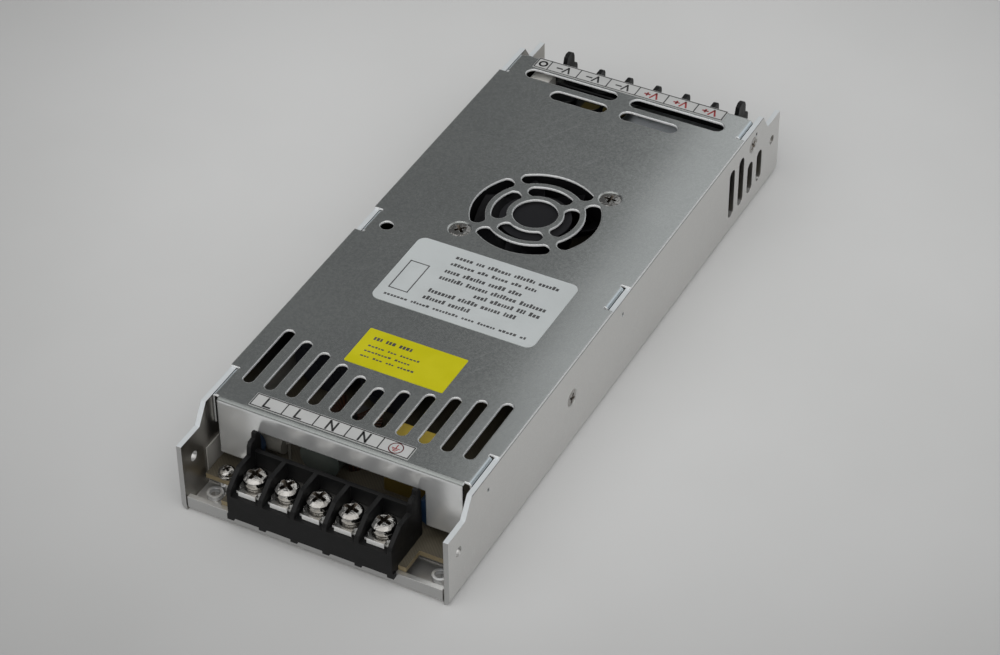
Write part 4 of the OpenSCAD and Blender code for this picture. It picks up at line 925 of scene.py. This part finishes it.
def splitWasher(tree, given):
    # a square bar swept along an open, slightly rising arc
    half = times(tree, given["Washer Height"], 0.5)
    arc = addNode(tree, "GeometryNodeCurveArc", mode="RADIUS")
    feed(tree, arc.inputs["Resolution"], screwForm["washerSteps"])
    feed(tree, arc.inputs["Radius"], calc(tree, "SUBTRACT", given["Washer Radius"], half))
    feed(tree, arc.inputs["Sweep Angle"], math.radians(screwForm["washerSweep"]))
    along = addNode(tree, "GeometryNodeSplineParameter").outputs["Factor"]
    rise = times(tree, calc(tree, "SUBTRACT", along, 0.5), times(tree, half, screwForm["washerRise"]))
    path = reshape(tree, arc.outputs["Curve"], offset=joinVector(tree, 0.0, 0.0, rise))
    bar = addNode(tree, "GeometryNodeCurvePrimitiveQuadrilateral")
    thick = times(tree, given["Washer Height"], screwForm["washerBar"])
    feed(tree, bar.inputs["Width"], thick)
    feed(tree, bar.inputs["Height"], thick)
    swept = addNode(tree, "GeometryNodeCurveToMesh")
    feed(tree, swept.inputs["Curve"], path)
    feed(tree, swept.inputs["Profile Curve"], bar.outputs["Curve"])
    feed(tree, swept.inputs["Fill Caps"], True)
    washed = addNode(tree, "GeometryNodeSwitch", input_type="GEOMETRY")
    feed(tree, washed.inputs["Switch"], isOver(tree, given["Washer Height"], screwForm["leastWasher"]))
    feed(tree, washed.inputs["True"], lift(tree, swept.outputs["Mesh"], half))
    return washed.outputs["Output"]


def screwShank(tree, given):
    shank = addNode(tree, "GeometryNodeMeshCylinder")
    for key, value in (("Vertices", screwForm["shankSides"]), ("Radius", given["Shank Radius"]),
                       ("Depth", calc(tree, "ADD", given["Shank Length"], given["Washer Height"]))):
        feed(tree, shank.inputs[key], value)
    drop = calc(tree, "SUBTRACT", given["Washer Height"], given["Shank Length"])
    return lift(tree, shank.outputs["Mesh"], times(tree, drop, 0.5))


def smoothFaces(tree, geometry):
    smooth = addNode(tree, "GeometryNodeSetShadeSmooth", domain="FACE")
    feed(tree, smooth.inputs["Geometry"], geometry)
    sharp = addNode(tree, "GeometryNodeSetShadeSmooth", domain="EDGE")
    angle = addNode(tree, "GeometryNodeInputMeshEdgeAngle").outputs["Unsigned Angle"]
    feed(tree, sharp.inputs["Geometry"], smooth.outputs["Geometry"])
    feed(tree, sharp.inputs["Selection"], isOver(tree, angle, math.radians(screwForm["sharpAngle"])))
    feed(tree, sharp.inputs["Shade Smooth"], False)
    return sharp.outputs["Geometry"]


def driveHome(tree, given, screw):
    # one on each seat, each at its own angle
    seated = addNode(tree, "GeometryNodeInstanceOnPoints")
    feed(tree, seated.inputs["Points"], given["Seats"])
    feed(tree, seated.inputs["Instance"], screw)
    feed(tree, seated.inputs["Rotation"], readAttribute(tree, "facing", "FLOAT_VECTOR"))
    chance = addNode(tree, "FunctionNodeRandomValue", data_type="FLOAT")
    feed(tree, chance.inputs[2], 0.0)
    feed(tree, chance.inputs[3], math.pi / 2)
    feed(tree, chance.inputs["Seed"], given["Seed"])
    driven = addNode(tree, "GeometryNodeRotateInstances")
    feed(tree, driven.inputs["Instances"], seated.outputs["Instances"])
    feed(tree, driven.inputs["Rotation"], joinVector(tree, 0.0, 0.0, chance.outputs[1]))
    real = addNode(tree, "GeometryNodeRealizeInstances")
    feed(tree, real.inputs["Geometry"], driven.outputs["Instances"])
    return real.outputs["Geometry"]


def dressScrews(tree, given, screws):
    dressed = addNode(tree, "GeometryNodeSetMaterial")
    feed(tree, dressed.inputs["Geometry"], screws)
    feed(tree, dressed.inputs["Material"], given["Finish"])
    # painted shade: faces cut by the recess take the dark recess finish
    shaded = addNode(tree, "GeometryNodeSetMaterial")
    feed(tree, shaded.inputs["Geometry"], dressed.outputs["Geometry"])
    feed(tree, shaded.inputs["Selection"], isOver(tree, readAttribute(tree, "recess", "FLOAT"), 0.5))
    feed(tree, shaded.inputs["Material"], given["Recess Shade Finish"])
    return shaded.outputs["Geometry"]


def makeScrewTree():
    tree = bpy.data.node_groups.new("crossScrew", "GeometryNodeTree")
    takes = [("Seats", "NodeSocketGeometry")]
    takes += [(name, "NodeSocketFloat") for name in screwLooks["terminal"]]
    takes += [("Seed", "NodeSocketInt"), ("Finish", "NodeSocketMaterial"),
              ("Recess Shade Finish", "NodeSocketMaterial")]
    for name, kind in takes:
        tree.interface.new_socket(name, in_out="INPUT", socket_type=kind)
    tree.interface.new_socket("Screws", in_out="OUTPUT", socket_type="NodeSocketGeometry")
    given = addNode(tree, "NodeGroupInput").outputs
    made = addNode(tree, "NodeGroupOutput").inputs
    head = cutRecess(tree, given, domedBlank(tree, given))
    whole = addNode(tree, "GeometryNodeJoinGeometry")
    for piece in (head, splitWasher(tree, given), screwShank(tree, given)):
        feed(tree, whole.inputs["Geometry"], piece)
    screw = smoothFaces(tree, whole.outputs["Geometry"])
    feed(tree, made["Screws"], dressScrews(tree, given, driveHome(tree, given, screw)))
    return tree


screwTree = makeScrewTree()


def seatScrews(name, node, look, seats, seed):
    mesh = bpy.data.meshes.new(name + "Seats")
    mesh.from_pydata([place for place, turn in seats], [], [])
    facing = mesh.attributes.new("facing", "FLOAT_VECTOR", "POINT")
    for point, (place, turn) in zip(facing.data, seats):
        point.vector = turn
    rig = bpy.data.objects.new(name + "Seats", mesh)
    scene.collection.objects.link(rig)
    modifier = rig.modifiers.new("crossScrew", "NODES")
    modifier.node_group = screwTree
    wanted = {key: value * (1 if key == "Dome" else mm) for key, value in look.items()}
    wanted.update({"Seed": seed, "Finish": finishes["platedSteel"], "Recess Shade Finish": finishes["screwRecessShade"]})
    for socket in screwTree.interface.items_tree:
        if socket.in_out == "INPUT" and socket.name in wanted:
            modifier[socket.identifier] = wanted[socket.name]
    ready = rig.evaluated_get(bpy.context.evaluated_depsgraph_get())
    made = bpy.data.meshes.new_from_object(ready)
    made.name = name
    screws = bpy.data.objects.new(name, made)
    scene.collection.objects.link(screws)
    bpy.data.objects.remove(rig)
    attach(screws, "case")
    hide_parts(node)


def rowOfSeats(node, count, look):
    low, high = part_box(node)
    radius = look["Head Radius"] * mm
    z = high.z - (look["Head Height"] + look["Washer Height"]) * mm
    step = (high.x - low.x - 2 * radius) / (count - 1)
    return [((low.x + radius + i * step, (low.y + high.y) / 2, z), (0, 0, 0)) for i in range(count)]


def cornerSeats(node, look):
    low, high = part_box(node)
    radius, z = look["Head Radius"] * mm, high.z - look["Head Height"] * mm
    corners = ((low.x + radius, low.y + radius), (high.x - radius, high.y - radius))
    return [((x, y, z), (0, 0, 0)) for x, y in corners]


def wallSeats(node, look, sides):
    low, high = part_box(node)
    x, y, z = high.x - look["Head Height"] * mm, (low.y + high.y) / 2, (low.z + high.z) / 2
    return [((side * x, y, z), (0, side * math.pi / 2, 0)) for side in sides]


def boardSeats(node, look):
    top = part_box(node)[1].z
    crowns = [v.co for v in nodes[node].data.vertices if v.co.z > top - 0.02 * mm]
    places = sorted({(round(c.x, 3), round(c.y, 3)) for c in crowns})
    z = top - (look["Head Height"] + look["Washer Height"]) * mm
    print("board screw seats", places)
    return [((x, y, z), (0, 0, 0)) for x, y in places]


def makeScrews():
    terminal, board, fan, wall = (screwLooks[key] for key in ("terminal", "board", "fan", "wall"))
    for name, node, count, seed in (("acTerminalScrews", "ac_terminal_screws", 5, 3),
                                    ("dcTerminalScrews", "dc_terminal_screws", 6, 8)):
        seatScrews(name, node, terminal, rowOfSeats(node, count, terminal), seed)
    seatScrews("fanScrews", "fan_screws", fan, cornerSeats("fan_screws", fan), 5)
    seatScrews("coverScrews", "cover_screws", wall, wallSeats("cover_screws", wall, (-1, 1)), 2)
    seatScrews("heatBarScrew", "heat_bar_screw", wall, wallSeats("heat_bar_screw", wall, (1,)), 4)
    seatScrews("boardScrews", "board_screws", board, boardSeats("board_screws", board), 6)


makeScrews()
print("screws seated")

# printed marks: strokes of ink standing a hair above the stickers

glyphs = {
    "L": [[(0, 1), (0, 0), (0.85, 0)]],
    "N": [[(0, 0), (0, 1), (1, 0), (1, 1)]],
    "V": [[(0, 1), (0.5, 0), (1, 1)]],
    "plus": [[(0, 0.5), (1, 0.5)], [(0.5, 0.1), (0.5, 0.9)]],
    "minus": [[(0, 0.5), (1, 0.5)]],
    "earth": [[(0.5, 0.82), (0.5, 0.46)], [(0.24, 0.46), (0.76, 0.46)], [(0.33, 0.33), (0.67, 0.33)],
              [(0.42, 0.2), (0.58, 0.2)]],
}
ringSteps = 32
ringTurns = [2 * math.pi * k / ringSteps for k in range(ringSteps + 1)]
glyphs["ring"] = [[(0.5 + 0.5 * math.cos(a), 0.5 + 0.5 * math.sin(a)) for a in ringTurns]]
inkHeight = 0.02


def strokesAt(shape, x, y, wide, high, turned=False):
    sign = -1 if turned else 1
    return [[(x + sign * (u - 0.5) * wide, y + sign * (v - 0.5) * high) for u, v in line] for line in shape]


def inkPiece(name, lines, width, top, finish, bars=()):
    form = bmesh.new()

    def slab(corners):
        low = [form.verts.new((x * mm, y * mm, top)) for x, y in corners]
        high = [form.verts.new((x * mm, y * mm, top + inkHeight * mm)) for x, y in corners]
        form.faces.new(high)
        form.faces.new(low[::-1])
        for k in range(len(corners)):
            n = (k + 1) % len(corners)
            form.faces.new((low[k], low[n], high[n], high[k]))

    for line in lines:
        for (x0, y0), (x1, y1) in zip(line, line[1:]):
            length = math.hypot(x1 - x0, y1 - y0)
            u, v = (x1 - x0) / length * width / 2, (y1 - y0) / length * width / 2
            slab([(x0 - u + v, y0 - v - u), (x1 + u + v, y1 + v - u),
                  (x1 + u - v, y1 + v + u), (x0 - u - v, y0 - v + u)])
    for x0, y0, x1, y1 in bars:
        slab([(x0, y0), (x1, y0), (x1, y1), (x0, y1)])
    bmesh.ops.recalc_face_normals(form, faces=form.faces)
    mesh = bpy.data.meshes.new(name)
    form.to_mesh(mesh)
    form.free()
    piece = bpy.data.objects.new(name, mesh)
    piece.data.materials.append(finishes[finish])
    scene.collection.objects.link(piece)
    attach(piece, "case")


stripLook = {
    "border": 0.34, "inset": 0.15, "stroke": 0.58, "earthStroke": 0.3,
    "acDividers": (-18.4, -8.9, 0.7, 10.6), "acMarks": ("L", "L", "N", "N", "earth"),
    "dcDividers": (-27.9, -18.0, -7.9, 1.8, 11.4, 21.2),
    "dcMarks": ("adjust", "minus", "minus", "minus", "plus", "plus", "plus"),
    # width and height of each kind of mark
    "letter": (2.2, 3.2), "earth": (3.9, 3.9), "adjust": (2.3, 2.3), "sign": (1.5, 1.5), "volt": (2.1, 2.6),
    "signShift": -1.5, "voltShift": 1.0,
}


def stripFrame(node, dividers, look):
    low, high = (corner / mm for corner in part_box(node))
    inset = look["inset"] + look["border"] / 2
    x0, y0, x1, y1 = low.x + inset, low.y + inset, high.x - inset, high.y - inset
    lines = [[(x0, y0), (x1, y0), (x1, y1), (x0, y1), (x0, y0)]]
    lines += [[(x, y0), (x, y1)] for x in dividers]
    cells = [x0, *dividers, x1]
    middles = [(a + b) / 2 for a, b in zip(cells, cells[1:])]
    return lines, middles, (y0 + y1) / 2, high.z * mm


def makeInputStrip(look):
    lines, middles, y, top = stripFrame("ac_marking_strip", look["acDividers"], look)
    inkPiece("acStripFrame", lines, look["border"], top, "inkBlack")
    black, red = [], []
    for x, mark in zip(middles, look["acMarks"]):
        if mark == "earth":
            red += strokesAt(glyphs["ring"], x, y, *look["earth"])
            red += strokesAt(glyphs["earth"], x, y, *look["earth"])
        else:
            black += strokesAt(glyphs[mark], x, y, *look["letter"])
    inkPiece("acStripLetters", black, look["stroke"], top, "inkBlack")
    inkPiece("acStripEarth", red, look["earthStroke"], top, "inkRed")


def makeOutputStrip(look):
    lines, middles, y, top = stripFrame("dc_marking_strip", look["dcDividers"], look)
    inkPiece("dcStripFrame", lines, look["border"], top, "inkBlack")
    black, red = [], []
    for x, mark in zip(middles, look["dcMarks"]):  # read from the output end, so turned half round
        if mark == "adjust":
            black += strokesAt(glyphs["ring"], x, y, *look["adjust"])
            continue
        kept = red if mark == "plus" else black
        kept += strokesAt(glyphs[mark], x + look["signShift"], y, *look["sign"], True)
        kept += strokesAt(glyphs["V"], x + look["voltShift"], y, *look["volt"], True)
    inkPiece("dcStripBlack", black, look["stroke"], top, "inkBlack")
    inkPiece("dcStripRed", red, look["stroke"], top, "inkRed")


# the labels carry ruled bars in place of words
labelLook = {
    "seed": 7, "letters": (3, 8), "letter": (0.5, 0.9), "gap": 0.3, "space": 1.0, "rises": (0.75, 0.75, 1.0),
    # left, right, top edge below the label's top, bar height
    "ratingRows": ((13.5, 46.5, 3.3, 1.5), (13.5, 41, 6.6, 1.3), (13.5, 38, 9.8, 1.7), (13.5, 47, 13.0, 1.7),
                   (26, 46.5, 16.2, 1.7), (13.5, 42, 19.4, 1.7), (13.5, 28, 22.6, 1.7), (3, 47.5, 26.4, 1.0)),
    "ratingBox": (2.8, 11.0, 8.6, 24.0), "boxStroke": 0.35,
    "yellowRows": ((3.0, 15.5, 2.4, 1.7), (3.0, 19.5, 6.4, 0.7), (3.0, 18.5, 8.6, 0.7),
                   (3.0, 20.0, 10.8, 0.7)),
}


def wordBars(node, rows, look, chance):
    low, high = (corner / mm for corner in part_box(node))
    bars = []
    for left, right, down, tall in rows:
        x = low.x + left
        while x < low.x + right:
            for letter in range(chance.randint(*look["letters"])):
                end = x + chance.uniform(*look["letter"])
                if end > low.x + right:
                    break
                rise = tall * chance.choice(look["rises"])
                bars.append((x, high.y - down - tall, end, high.y - down - tall + rise))
                x = end + look["gap"]
            x += look["space"]
    return bars


def makeLabels(look):
    chance = random.Random(look["seed"])
    low, high = (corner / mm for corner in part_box("rating_label"))
    left, top, right, bottom = look["ratingBox"]
    x0, y0, x1, y1 = low.x + left, high.y - top, low.x + right, high.y - bottom
    box = [(x0, y0), (x1, y0), (x1, y1), (x0, y1), (x0, y0)]
    inkPiece("ratingPrint", [box], look["boxStroke"], high.z * mm, "inkGrey",
             wordBars("rating_label", look["ratingRows"], look, chance))
    inkPiece("yellowPrint", [], 0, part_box("yellow_label")[1].z, "inkGrey",
             wordBars("yellow_label", look["yellowRows"], look, chance))


makeInputStrip(stripLook)
makeOutputStrip(stripLook)
makeLabels(labelLook)
print("marks printed")
